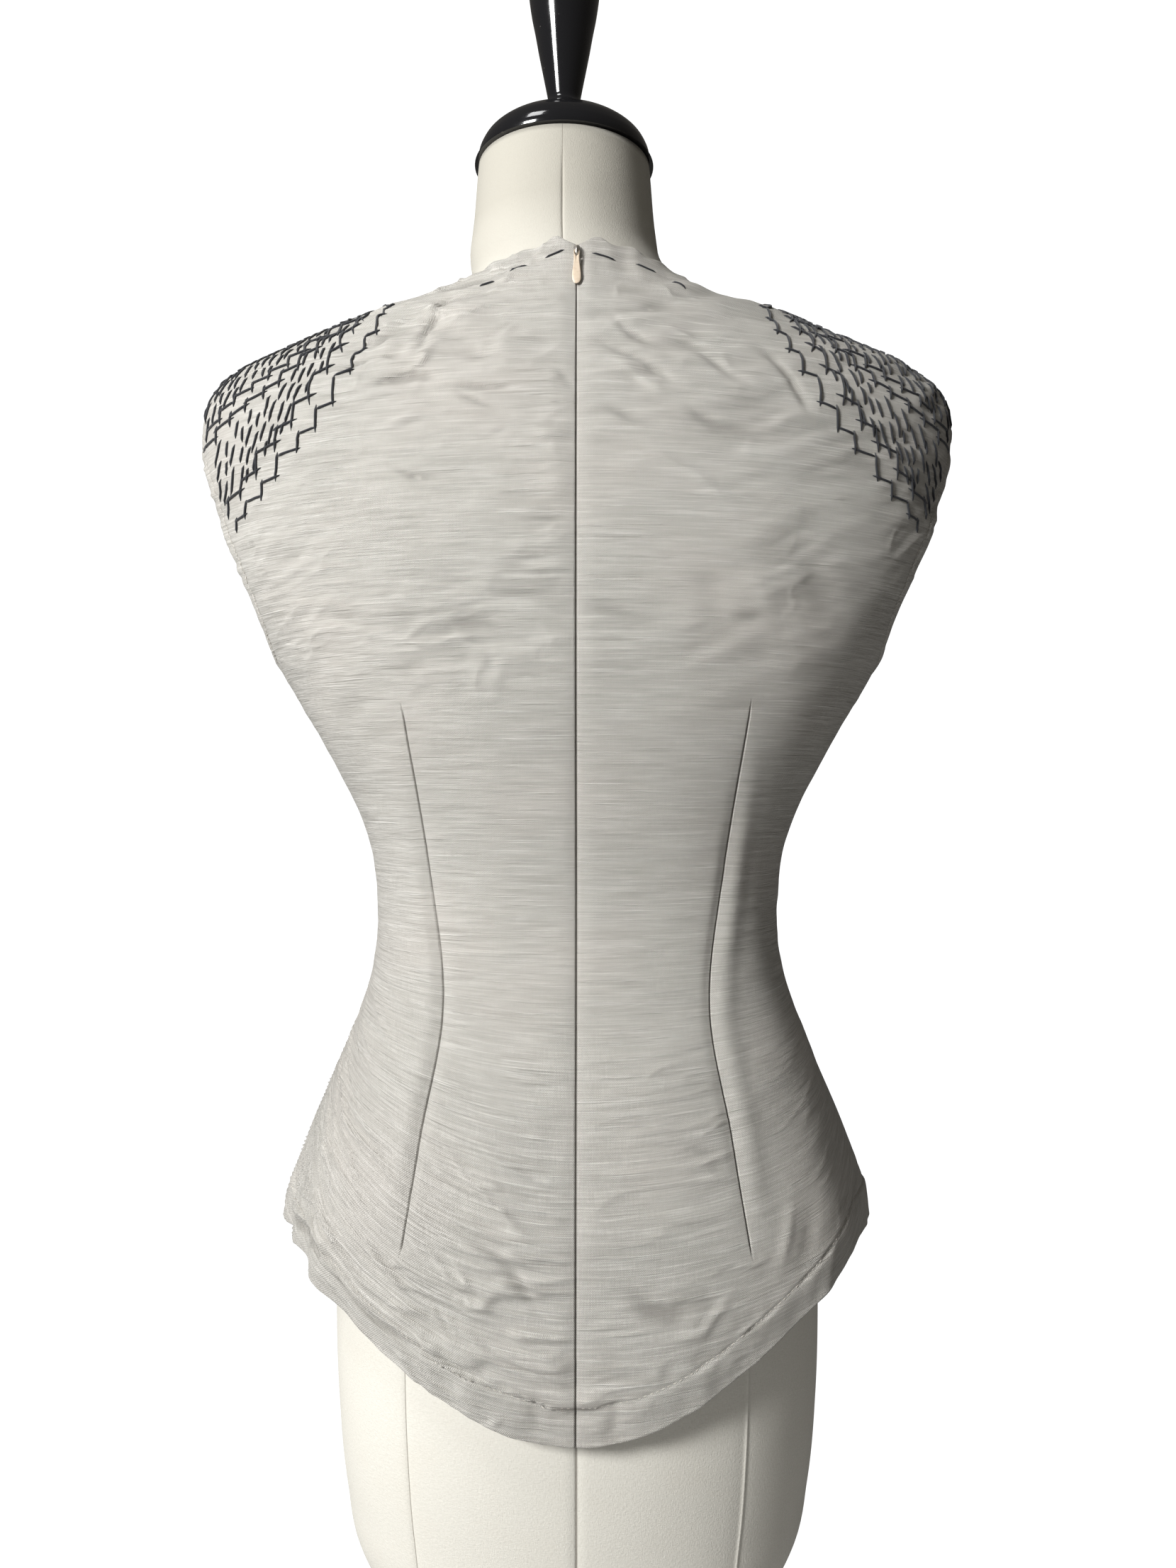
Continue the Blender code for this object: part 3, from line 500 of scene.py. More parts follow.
def fold_height(across, height, folds):
    """Sum of the folds: each one is a soft bell across its line, and fades to nothing at both ends.

    Folds of the chest and raised ones of the skirt are narrower, and those of the chest are taller."""
    total = np.zeros(across.shape)
    for width, tall, path in folds:
        path = np.array(path)
        chest, raised_skirt = path[0, 1] > FOLD_CHEST_FOOT, path[0, 1] < FOLD_SKIRT_TOP and tall > 0
        width = width * (FOLD_NARROWER if chest or raised_skirt else 1.0)
        tall = tall * (FOLD_TALLER if chest else 1.0)
        fade_x, fade_y = path[[0, -1]].T
        near = distance_to_path(across, height, path)
        reach = 1.2 + 2 * width
        ends = np.minimum.reduce([np.hypot(across - x, height - y) for x, y in zip(fade_x, fade_y)])
        total += tall * bell(near, width) * ease((ends + 0.35 * reach) / (1.35 * reach))
    return total


print("folds by hand:", len(LEFT_FOLDS) + len(RIGHT_FOLDS) + len(FRONT_FOLDS))

# %% [markdown]
# ## Seams, darts and stitch lines as relief
# A sewn line pulls the cloth down into a narrow groove between two soft rolls. Each seam adds such a
# groove by its distance from the line, and a turned hem is a little thicker than the rest. Each part also
# gives the painted shade of its groove, from 0 to 1, which the cloth's finish reads later on.
# %% Where the cloth's points lie
HEM_TURN, ARMHOLE_TURN = 1.80, 0.50
STITCH_PITCH = 0.31
CLOTH_PER_HEIGHT = 0.90
DART_FOOT, DART_TOP = DART["height"][[0, -1]]
DROOP = {-1: 0.027, 1: 0.010}
CHEST_DROOP = 0.002


def droop_of_weave(height, centre, side):
    """Height of the weft yarn through a point: level at the waist, sinking to the centre in the skirt."""
    skirt, chest = ease((41 - height) / 14), ease((height - 52) / 18)
    return height - DROOP[side] * centre ** 2 * skirt + CHEST_DROOP * centre ** 2 * chest


def hem_distance(angle, height):
    """Distance up the cloth from the hem's edge."""
    edge = np.where(np.cos(angle) > 0, hem_height(angle, False), hem_height(np.pi - angle, True))
    return (height - edge) * CLOTH_PER_HEIGHT


def distances(angle, height):
    """How far points of the cloth lie from its centre, seams, darts and edges, in centimetres."""
    across = arc(angle, height)
    half = arc(np.full(angle.shape, np.pi), height)
    side_line = arc(np.full(angle.shape, np.pi / 2), height)
    front = np.cos(angle) < 0
    from_centre = np.where(front, np.pi - angle, angle)
    dart_gap = np.where(front, (from_centre - dart_angle(height)) * half / np.pi,
                        across - arc(dart_angle(height), height))
    armhole = np.minimum(*(distance_to_path(across, height, path) for path in ARMHOLE_PATHS))
    return SimpleNamespace(angle=angle, height=height, across=across, front=front, back=~front,
                           centre=np.where(front, half - across, across),
                           from_side=np.abs(across - side_line), dart_gap=dart_gap,
                           edge=hem_distance(angle, height), armhole=armhole)


print("darts from", DART_FOOT, "to", DART_TOP, "cm; hem turn, cm:", HEM_TURN)

# %% Relief of the sewn lines
DART_GROOVE, DART_TROUGH, DART_ROLL, DART_ROLL_AT = (0.13, 0.038), (0.15, 0.40), (0.13, 0.70), 0.85
SIDE_GROOVE, SIDE_TROUGH = (0.10, 0.07), (0.05, 0.40)
ZIP_GROOVE, ZIP_TROUGH = (0.08, 0.042), (0.085, 0.45)
ARMHOLE_GROOVE, ARMHOLE_THICKER = (0.05, 0.08), 0.03


def profile(distance, size):
    """A bell across a line, from its (height, width)."""
    return size[0] * bell(distance, size[1])


def dart_ends(height):
    """1 along a dart, and 0 past its two points."""
    return ease((height - DART_FOOT) / 0.9) * ease((DART_TOP - height) / 1.4)


def sewn_lines(at):
    """Darts, side seams and zip seam: each a narrow groove in a shallow trough, with painted shade in the
    groove.

    A dart of the back has a soft roll beside it, towards the side seam."""
    ends = dart_ends(at.height)
    deep = ease((at.height - DART_FOOT) / 5) * ease((DART_TOP - at.height) / 11)
    lift = -profile(at.dart_gap, DART_GROOVE) * ends - profile(at.dart_gap, DART_TROUGH) * deep
    lift += profile(at.dart_gap - DART_ROLL_AT, DART_ROLL) * deep * at.back
    lift -= profile(at.from_side, SIDE_GROOVE) + profile(at.from_side, SIDE_TROUGH)
    lift -= (profile(at.across, ZIP_GROOVE) + profile(at.across, ZIP_TROUGH)) * at.back
    # Painted shade in the bottom of each groove, darkest in the darts and the zip seam.
    groove_shade = np.maximum.reduce([bell(at.dart_gap, DART_GROOVE[1]) * ends,
                              0.8 * bell(at.from_side, SIDE_GROOVE[1]),
                              bell(at.across, ZIP_GROOVE[1]) * at.back])
    return lift, groove_shade


def armhole_edge(at):
    """The turned edge of the armhole: a little thicker, and held by a stitched groove with painted shade."""
    line = bell(at.armhole - ARMHOLE_TURN, ARMHOLE_GROOVE[1])
    lift = ARMHOLE_THICKER * ease((ARMHOLE_TURN - at.armhole) / 0.12) - ARMHOLE_GROOVE[0] * line
    return lift, 0.35 * line


print("zip groove, cm deep and wide:", ZIP_GROOVE)

# %% Relief of the hem
HEM_GROOVE, HEM_THICKER, HEM_CURL, HEM_WAVE = (0.10, 0.10), 0.035, 0.20, 0.09
SCALLOP = {"height": 0.25, "peak": 66, "pitch": 17, "reach": 2.6}
KNOT_WIDE, KNOT_ROLL, KNOT_DIP, KNOT_DENT = 1.35, (0.24, 0.42), (0.19, 0.34), (0.14, 0.42)


def hem_band(at):
    """1 in the turned band of the hem, and 0 above it."""
    return ease((HEM_TURN - at.edge) / 0.25)


def hem_relief(at, side):
    """The turned hem: a dented stitch line, an uneven band that curls in, and a thick knot at the zip.

    The left hem also stands off in even scallops towards the side seam, as degrees round the body."""
    over = at.edge - HEM_TURN
    line = bell(over, HEM_GROOVE[1]) * (0.6 + 0.4 * noise(at.across / STITCH_PITCH + 9, 0 * at.across, 5))
    wave = HEM_WAVE * noise(at.across / 1.05 + 4 * side, at.edge / 2.6, 6)
    lift = hem_band(at) * (HEM_THICKER + wave - HEM_CURL * ease(1 - at.edge / HEM_TURN))
    lift -= HEM_GROOVE[0] * line
    lift -= 0.05 * bell(over - 0.5, 0.45) * np.abs(noise(at.across / 0.9 + 2 * side, at.edge / 2, 8))
    if side < 0:
        degrees_round = np.degrees(at.angle)
        scallops = np.cos(2 * np.pi * (degrees_round - SCALLOP["peak"]) / SCALLOP["pitch"])
        scallops *= ease((degrees_round - 30) / 18) * ease((88 - degrees_round) / 12)
        lift += SCALLOP["height"] * scallops * bell(at.edge, SCALLOP["reach"])
    knot = at.back * np.exp(-(at.across / KNOT_WIDE) ** 4)
    lift += knot * (profile(over - 0.30, KNOT_ROLL) - profile(over + 0.30, KNOT_DIP))
    lift -= at.back * profile(at.across - 1.9, KNOT_DENT) * bell(over + 0.75, 0.75)
    # Painted shade along the stitch line, and a painted shadow under the knot at the zip.
    return lift, np.maximum(0.40 * line, 0.9 * knot * bell(over + 0.05, 0.10))


print("hem scallops, degrees apart:", SCALLOP["pitch"])

# %% [markdown]
# ## Creases from noise
# The chest has short level creases, the skirt slanting ones that are rougher at the left of the back, and
# the waist a faint ripple. They keep off the seams, and come and go in patches.
# %% Relief of the creases
UPPER_RIDGES = {-1: (0.055, 0.030), 1: (0.020, 0.0)}
UPPER_GAIN, UPPER_GAIN_FRONT, NECK_GAIN = {-1: 3.0, 1: 2.3}, 1.5, 1.6
HOLLOW_SHADE_GAIN = 3.0
SKIRT_STEEP, SKIRT_STEEP_LEFT = 0.016, 0.037
FINE_HEIGHT, FINER_HEIGHT, RIDGE_MEAN = 0.25, 0.13, 0.11
FOLD_GAIN, FOLD_GAIN_LEFT = 1.2, 1.7


def calm_share(at):
    """How freely the cloth creases: 1 in the open, less beside darts, seams, hem band and front centre."""
    calm = 1 - 0.8 * bell(at.dart_gap, 0.7) * dart_ends(at.height)
    calm = calm * (1 - 0.8 * at.back * bell(at.across, 0.7)) * (1 - 0.7 * bell(at.from_side, 1.0))
    return calm * (1 - 0.6 * hem_band(at)) * np.where(at.front, ease(at.centre / 3.0), 1.0)


def upper_creases(at, side, seed, warp):
    """Level creases of the chest: two noises stretched along the weave, and two sets of ridges."""
    lean = at.height - 0.010 * at.centre ** 2 * side * ease((at.height - 52) / 10)
    tall, short = UPPER_RIDGES[side]
    crinkle = 0.060 * noise(at.across / 3.0 + seed, lean / 0.80 + warp, 11)
    crinkle += 0.030 * noise(at.across / 1.5 + seed, lean / 0.40 + warp, 13)
    crinkle += tall * ridges(at.across / 3.2 + seed, lean / 1.2 + 0.4 * warp, 17, 0.12)
    crinkle += short * ridges(at.across / 2.4 + seed, lean / 0.7 + 0.3 * warp, 19, 0.14)
    return ease((at.height - 47) / 12) * crinkle


def skirt_creases(at, side, seed, patch):
    """Slanting creases of the skirt: two sets of ridges over a broad noise, quieter past the dart."""
    left_back = at.back & (side < 0)
    steep = np.where(left_back, SKIRT_STEEP_LEFT, SKIRT_STEEP)
    lean = at.height - steep * at.centre ** 2 + 0.55 * noise(at.centre / 3.4, at.height / 3.4, 21)
    fine = ridges(at.centre / 6.0 + seed, lean / 1.05, 23, 0.15)
    finer = ridges(at.centre / 3.6 + seed, lean / 0.55, 29, 0.22)
    past_dart = ease(at.dart_gap / 0.8)
    rough = np.where(left_back, 1.1 - 0.25 * past_dart, 0.45 - 0.38 * past_dart)
    broad = np.where(at.back & (side > 0), 0.09 - 0.05 * past_dart, 0.09)
    creases = patch * rough * (FINE_HEIGHT * fine + FINER_HEIGHT * finer - RIDGE_MEAN)
    return ease((39 - at.height) / 8) * (creases + broad * noise(at.centre / 4.0 + seed, lean / 2.6, 31))


def waist_ripple(at, seed, warp):
    """A faint ripple at the waist."""
    broad = 0.035 * noise(at.across / 2.8 + seed, at.height / 1.1 + warp, 37)
    fine = 0.020 * noise(at.across / 1.6 + seed, at.height / 0.5 + warp, 38)
    return bell(at.height - 42, 9) * (broad + fine)


def neckline_ripple(at, seed):
    """The back neckline's stitched edge, which isn't quite even."""
    share = at.back * ease((at.height - 73.4) / 1.6) * ease((at.across - 0.6) / 0.8)
    return share * 0.09 * noise(at.across / 0.85 + seed, at.height / 2.2, 41)


print("gain of the upper creases, left and right:", UPPER_GAIN)

# %% Relief of the whole vest
def relief(angle, height, side):
    """Height of the cloth over its smooth form, in centimetres, and the painted shade of its seams and
    creases.

    The sum of seams, edges, creases from noise and listed folds. Hollows of the upper creases get
    painted shade too, by how deep they lie, unless a listed fold fills them."""
    at = distances(angle, height)
    parts = [sewn_lines(at), hem_relief(at, side), armhole_edge(at)]
    total = sum(lift for lift, groove_shade in parts)
    groove = np.maximum.reduce([groove_shade for lift, groove_shade in parts])

    seed = 40 if side > 0 else 10
    calm = calm_share(at)
    patch = np.clip(0.55 + 0.65 * noise(at.across / 5.0 + seed, height / 6.0, 3), 0.15, 1.3)
    warp = 0.9 * noise(at.across / 4.5 + seed, height / 3.5, 7)
    crinkle = patch * calm * upper_creases(at, side, seed, warp)
    near_neck = at.back * ease((height - 62) / 4) * ease((13 - at.across) / 4)
    total += crinkle * (np.where(at.front, UPPER_GAIN_FRONT, UPPER_GAIN[side]) + NECK_GAIN * near_neck)
    total += calm * (skirt_creases(at, side, seed, patch) + waist_ripple(at, seed, warp))
    total += neckline_ripple(at, seed)

    folds = fold_height(at.across, height, LEFT_FOLDS if side < 0 else RIGHT_FOLDS) if np.any(at.back) else 0
    gain = np.where(at.back & (side < 0), FOLD_GAIN_LEFT, FOLD_GAIN)
    laid = gain * folds + fold_height(at.across, height, FRONT_FOLDS)
    total += laid
    # Painted shade in the hollows of the upper creases, by how deep they lie, unless a fold fills them; it
    # joins the painted shade of the seams.
    shaded_hollow = -crinkle * np.where(at.front, UPPER_GAIN_FRONT, HOLLOW_SHADE_GAIN)
    groove = np.maximum(groove, 0.15 + 0.34 * ease((shaded_hollow - laid) / 0.15))
    return total, at.across, droop_of_weave(height, at.centre, side), groove


def cloth_point(angle, height, side, depth=0.0):
    """A point of the cloth, depth under its creased surface: place, normal, weave place and painted shade."""
    lift, across, weft, groove = relief(angle, height, side)
    normal = outward(body, angle, height)
    point = body(angle, height) + normal * (lift - depth)[..., None]
    mirror = np.array([side, 1.0, 1.0])
    return point * mirror, normal * mirror, np.stack([across * side, weft], -1), groove


zip_lift = relief(np.array([[0.0]]), np.array([[60.0]]), 1)[0]
print("the zip seam at 60 cm lies under the form by, cm:", round(float(-zip_lift[0, 0]), 3))

# %% [markdown]
# ## The panels
# The vest is cut as two half backs and one front on the fold. Each is a grid between its real edges:
# centre seam, hem, side seam, armhole, shoulder seam and neckline. Columns crowd together where the zip
# seam and the dart make narrow grooves.
# %% Grid of a half panel
CLOTH_THICK = 0.10
EDGE_ROUND = 0.045
INNER_STRIDE = 3
SKIRT_SHARE = {"of_rows": 0.72, "of_length": 0.50}
BACK_GRID = {"side": 250, "armhole": 92, "shoulder": 56, "to_dart": 60, "to_edge": 68}
FRONT_GRID = {"side": 130, "armhole": 60, "shoulder": 40, "to_dart": 42, "to_edge": 50}
DART_OFFSETS = np.array([-0.42, -0.28, -0.18, -0.11, -0.065, -0.03, 0.0, 0.03, 0.065, 0.11, 0.18, 0.28, 0.42])
SEAM_OFFSETS = np.array([0.0, 0.03, 0.06, 0.10, 0.16, 0.25])
HEM_ROWS = 24


def panel_grid(front, size):
    """Angles from the centre, and heights, of a half panel; rows go up and columns go outwards."""
    hem, neck = (HEM["front"], NECK["front"]) if front else (HEM["back"], NECK["back"])
    up = np.interp(np.linspace(0, 1, size["side"] + 1)[:-1], [0, SKIRT_SHARE["of_rows"], 1],
                   [0, SKIRT_SHARE["of_length"], 1])
    way = np.linspace(0, 1, size["armhole"] + 1)[:-1]
    seam = np.linspace(0, 1, size["shoulder"] + 1)
    middle = SHOULDER_TIP - (FRONT_ROW_DROP if front else 0.0)
    edge_height = np.concatenate([
        HEM["side"] + (UNDERARM - HEM["side"]) * up,
        smooth(ARMHOLE, "height", way),
        SHOULDER_TIP + (NECK_POINT - SHOULDER_TIP) * seam])
    centre = np.concatenate([
        hem + (UNDERARM - hem) * up,
        UNDERARM + (middle - UNDERARM) * way,
        middle + (neck - middle) * seam])
    inset = np.radians(smooth(ARMHOLE, "front_angle" if front else "back_angle", way))
    edge = np.pi / 2 - np.concatenate([0 * up, inset, 0 * seam])
    mid_height = (centre + edge_height) / 2
    dart = dart_angle(mid_height)[:, None]
    per_cm = (np.pi / arc(np.full(mid_height.shape, np.pi), mid_height))[:, None]
    first, last = SEAM_OFFSETS[-1] * per_cm, dart + DART_OFFSETS[0] * per_cm
    inner = first + (last - first) * np.linspace(0, 1, size["to_dart"] + 2)[1:-1]
    start = dart + DART_OFFSETS[-1] * per_cm
    outer = start + (edge[:, None] - start) * np.linspace(0, 1, size["to_edge"] + 2)[1:]
    angle = np.concatenate([SEAM_OFFSETS * per_cm, inner, dart + DART_OFFSETS * per_cm, outer], axis=1)
    share = np.sin(np.minimum(angle * HEM_RISE_ANGLE, np.pi / 2)) ** HEM_RISE_POWER
    share = share / share[:, -1:]
    height = centre[:, None] + (edge_height - centre)[:, None] * share
    if not front:
        near = np.abs(body(angle[-1], height[-1])[:, 0])
        change = NECK_PEAK * bell(near - PEAK_FROM_CENTRE, PEAK_WIDTH)
        change -= NECK_NOTCH * np.clip(1 - near / PEAK_FROM_CENTRE, 0, 1)
        ripple = 0.10 * np.cos(2 * np.pi * (near - 0.95) / 1.85) + 0.05 * noise(near / 0.8 + 3, 0 * near, 51)
        ripple = ripple * ease((near - 1.0) / 0.9)
        fade = ease((np.arange(len(height)) - len(height) + 13) / 12)
        height = height + fade[:, None] * (change + ripple)
    return angle, height


back_angle, back_height = panel_grid(False, BACK_GRID)
front_angle, front_height = panel_grid(True, FRONT_GRID)
print("half back grid:", back_angle.shape, "half front grid:", front_angle.shape)

# %% Cloth of the panels
def inner_picks(shape, dart_columns):
    """Rows and columns kept for the inner side: every third, all near the hem and all in a dart."""
    return (np.union1d(every(shape[0], INNER_STRIDE), np.arange(HEM_ROWS)),
            np.union1d(every(shape[1], INNER_STRIDE), dart_columns))


def dart_columns(size):
    """Column numbers of a half panel that lie in its dart."""
    first = len(SEAM_OFFSETS) + size["to_dart"]
    return np.arange(first, first + len(DART_OFFSETS))


def half_back(side):
    """Outer grid and coarse inner grid of a half back, with the zip seam and the side seam drawn straight."""
    picks = inner_picks(back_angle.shape, dart_columns(BACK_GRID))
    grids = []
    for rows, depth in ((slice(None), 0.0), (np.ix_(*picks), CLOTH_THICK)):
        angle, height = back_angle[rows], back_height[rows]
        points, _, flat, groove = cloth_point(angle, height, side, depth)
        points[:, 0, 0] = side * SEAM_GAP / 2
        on_seam = angle[:, -1] > np.pi / 2 - 1e-6
        points[on_seam, -1, 1] = -SEAM_GAP / 2
        grids.append((points, flat, groove))
    return grids[0][0], grids[1][0], picks, grids[0][1], grids[0][2]


def whole_front():
    """Outer grid and coarse inner grid of the front, from its right side seam to its left."""
    last, darts = front_angle.shape[1] - 1, dart_columns(FRONT_GRID)
    picks = inner_picks((front_angle.shape[0], 2 * last + 1), np.concatenate([last - darts, last + darts]))
    on_seam = front_angle[:, -1] > np.pi / 2 - 1e-6
    grids = []
    for depth in (0.0, CLOTH_THICK):
        halves = []
        for side in (1, -1):
            points, _, flat, groove = cloth_point(np.pi - front_angle, front_height, side, depth)
            points[on_seam, -1, 1] = SEAM_GAP / 2
            halves.append((points, flat, groove))
        (right, right_flat, right_groove), (left, left_flat, left_groove) = halves
        middle = (right[:, 0] + left[:, 0]) / 2 * np.array([0.0, 1.0, 1.0])
        grids.append(np.concatenate([right[:, :0:-1], middle[:, None], left[:, 1:]], axis=1))
    left_flat = left_flat + np.array([1.0, 0.0]) * (right_flat[:, :1] - left_flat[:, :1])
    flat = np.concatenate([right_flat[:, ::-1], left_flat[:, 1:]], axis=1)
    groove = np.concatenate([right_groove[:, ::-1], left_groove[:, 1:]], axis=1)
    return grids[0], grids[1][np.ix_(*picks)], picks, flat, groove


def outer_area(grid):
    """Area of a grid in square metres: half the cross product of the two diagonals of each cell."""
    a, b = grid[1:, 1:] - grid[:-1, :-1], grid[1:, :-1] - grid[:-1, 1:]
    return float(np.linalg.norm(np.cross(a, b), axis=-1).sum() / 2 * CM * CM)


cloth_pieces = {}
for word, side in (("left", -1), ("right", 1)):
    outer, inner, picks, flat, groove = half_back(side)
    cloth_pieces[f"back_{word}"] = sheet_piece(f"back_{word}_cloth", outer, inner, picks, flat, EDGE_ROUND,
                                               side < 0, groove)
    print(f"back_{word}: grid", outer.shape[:2], "area m2", round(outer_area(outer), 4))
outer, inner, picks, flat, groove = whole_front()
cloth_pieces["front"] = sheet_piece("front_cloth", outer, inner, picks, flat, EDGE_ROUND, False, groove)
print("front: grid", outer.shape[:2], "area m2", round(outer_area(outer), 4))

# %% [markdown]
# ## Turned edges of the armholes
# Inside each armhole a strip of the same cloth is turned under and stitched down. It shows as a second
# layer where one looks in past the edge.
# %% Armhole strips
FACING_THICK = 0.08
FACING_SHARE = 12


def armhole_strip(name, front, side):
    """A strip under the panel's outermost columns, from the underarm to the shoulder tip."""
    angle, height = (front_angle, front_height) if front else (back_angle, back_height)
    size = FRONT_GRID if front else BACK_GRID
    rows = slice(size["side"] - 8, size["side"] + size["armhole"] + 8, 2)
    angle, height = angle[rows, -FACING_SHARE:], height[rows, -FACING_SHARE:]
    on_seam = angle[:, -1] > np.pi / 2 - 1e-6
    angle = np.pi - angle if front else angle
    grids = []
    for depth in (CLOTH_THICK + 0.03, CLOTH_THICK + 0.03 + FACING_THICK):
        points, _, flat, _ = cloth_point(angle, height, side, depth)
        points[on_seam, -1, 1] = SEAM_GAP / 2 if front else -SEAM_GAP / 2
        grids.append(points)
    whole = [np.arange(n) for n in angle.shape]
    return sheet_piece(name, grids[0], grids[1], whole, flat, 0.02, (side < 0) != front), outer_area(grids[0])


for front in (False, True):
    for word, side in (("left", -1), ("right", 1)):
        node = f"armhole_facing_{'front' if front else 'back'}_{word}"
        piece, area = armhole_strip(f"{node}_cloth", front, side)
        cloth_pieces[node] = piece
        print(node, "area m2", round(area, 5))

# %% [markdown]
# ## Threads
# Hand stitches are short lengths of thread that dive into the cloth at both ends. All the stitches of
# one kind are one mesh: a six sided tube carried along each path, thinner at its ends.
# %% Stitch meshes
THREAD_END_SHARE = 0.45
THREAD_STANDS = 0.7


def stitch_piece(name, paths, normals, radius, sides=6):
    """Tubes along paths of equal point counts; rings stand across the path, and both ends taper."""
    count, steps = paths.shape[:2]
    along = np.gradient(paths, axis=1)
    along /= np.linalg.norm(along, axis=-1, keepdims=True)
    across = np.cross(along, normals)
    across /= np.linalg.norm(across, axis=-1, keepdims=True)
    up = np.cross(across, along)
    turn = np.linspace(0, 2 * np.pi, sides, endpoint=False)
    taper = np.ones(steps)
    taper[[0, -1]] = THREAD_END_SHARE
    ring = across[:, :, None] * np.cos(turn)[:, None] + up[:, :, None] * np.sin(turn)[:, None]
    points = paths[:, :, None] + ring * (radius * taper)[None, :, None, None]
    index = np.arange(count * steps * sides).reshape(count, steps, sides)
    index = np.concatenate([index, index[:, :, :1]], axis=2)
    quads = np.stack([index[:, :-1, :-1], index[:, :-1, 1:], index[:, 1:, 1:], index[:, 1:, :-1]], -1)
    faces = quads.reshape(-1, 4)[:, ::-1].tolist()
    faces += index[:, 0, :-1].tolist() + index[:, -1, sides - 1::-1].tolist()
    length = np.concatenate([np.zeros((count, 1)),
                             np.cumsum(np.linalg.norm(np.diff(paths, axis=1), axis=-1), axis=1)], axis=1)
    flat = np.stack([np.broadcast_to(turn / 6.28, (count, steps, sides)),
                     np.broadcast_to(length[:, :, None], (count, steps, sides))], -1)
    return make_piece(name, points.reshape(-1, 3), faces, flat.reshape(-1, 2))


def stitch_paths(start, end, side, radius, steps=6, dive=0.05):
    """Paths on the cloth between (angle, height) pairs; the ends go under the surface by dive."""
    t = np.linspace(0, 1, steps)
    places = start[:, None] * (1 - t)[None, :, None] + end[:, None] * t[None, :, None]
    sink = dive * (np.abs(2 * t - 1) > 0.99)
    depth = -(radius * THREAD_STANDS - sink)[None, :] + 0 * places[..., 0]
    point, normal, _, _ = cloth_point(places[..., 0], places[..., 1], side, depth)
    return point, normal


# %% [markdown]
# ## The stitched shoulders
# The ornament is a band of stair steps with rows of slanting running stitches inside it, a common
# pattern in folk needlework. It is charted by rule: stairs of equal steps down from the neck to the
# armhole, a second stair one step inside, then leaning dashes in staggered columns.
# %% Chart of the shoulders
THREAD_RADIUS = 0.066
OUTER_STAIR = {"across": 9.3, "height": 74.6,
               "run": (0.80, 0.25, 0.25, 0.52, 0.62, 0.86, 1.00, 0.92, 1.20, 0.95, 0.98, 0.68),
               "drop": (1.00, 1.02, 1.18, 1.15, 1.35, 1.70, 1.32, 1.04, 1.32, 0.93, 0.80, 0.58)}
THIRD_STAIR = {"across": 11.7, "height": 73.9,
               "run": (0.90, 0.95, 1.00, 1.00, 1.02, 1.02, 1.02, 1.00, 1.05),
               "drop": (1.10, 1.05, 1.00, 0.86, 0.56, 0.58, 0.60, 0.80, 0.66)}
SECOND_SHIFT, FOURTH_SHIFT = (1.30, 0.42), (0.25, -1.05)


def shoulder_column(across, front):
    """Heights down the shoulder at one distance across, and the length of cloth from the seam to each."""
    table_h = np.linspace(67.3, 77.5, 400)
    top = np.interp(-across, -smooth(VEST_RINGS, "half_width", table_h), table_h)
    height = top[:, None] - np.linspace(0, 1, 140) ** 2 * (top[:, None] - 56.0)
    wide = np.maximum(smooth(VEST_RINGS, "half_width", height), across[:, None])
    angle = np.arcsin((across[:, None] / wide) ** (smooth(SQUARENESS, "power", height) / 2))
    angle[:, 0] = np.pi / 2
    angle = np.pi - angle if front else angle
    points = body(angle, height)
    steps = np.linalg.norm(np.diff(points, axis=1), axis=-1)
    length = np.concatenate([np.zeros((len(across), 1)), np.cumsum(steps, axis=1)], axis=1)
    return angle, height, length


def on_shoulder(across, down):
    """Angle and height of chart points: distance across, and cloth length down from the shoulder seam.

    A negative length is down the front."""
    across, down = np.asarray(across, dtype=float), np.asarray(down, dtype=float)
    place = np.zeros(across.shape + (2,))
    for front in (False, True):
        pick = (down < 0) if front else (down >= 0)
        if np.any(pick):
            angle, height, length = shoulder_column(across[pick], front)
            want = np.abs(down[pick])[:, None]
            k = np.clip((length < want).sum(axis=1), 1, length.shape[1] - 1)
            row = np.arange(len(k))
            t = (want[:, 0] - length[row, k - 1]) / np.maximum(length[row, k] - length[row, k - 1], 1e-9)
            t = np.clip(t, 0, 1)
            place[pick, 0] = angle[row, k - 1] * (1 - t) + angle[row, k] * t
            place[pick, 1] = height[row, k - 1] * (1 - t) + height[row, k] * t
    return place


def down_of(across, height):
    """Cloth length from the shoulder seam down the back to a height."""
    angle, heights, length = shoulder_column(np.atleast_1d(np.asarray(across, dtype=float)), False)
    return np.array([np.interp(-h, -heights[i], length[i]) for i, h in enumerate(np.atleast_1d(height))])


def stairs(chart, shift, over, lean, rng):
    """Start and end of each stitch of a staircase: one level and one upright stitch a step."""
    run, drop = np.array(chart["run"]), np.array(chart["drop"])
    x1 = chart["across"] + shift[0] + np.cumsum(run)
    z1 = chart["height"] + shift[1] - np.cumsum(drop)
    x0, z0 = x1 - run, z1 + drop
    jitter = rng.normal(0, 0.05, (4, len(run)))
    level = np.stack([x0 - over + jitter[0], z0 + lean,
                      x1 + 0.4 * over + jitter[1], z0 - lean + jitter[2]], -1)
    upright = np.stack([x1 - 0.3 * over, z0 + 0.3 * over, x1 + jitter[3], z1 - over], -1)
    return np.concatenate([level, upright])


def foot_line(chart, shift, x):
    """Height of a staircase's feet at a distance across, with straight lines between the steps."""
    x1 = chart["across"] + shift[0] + np.cumsum(chart["run"])
    z1 = chart["height"] + shift[1] - np.cumsum(chart["drop"])
    return np.interp(x, x1, z1, left=75.0)


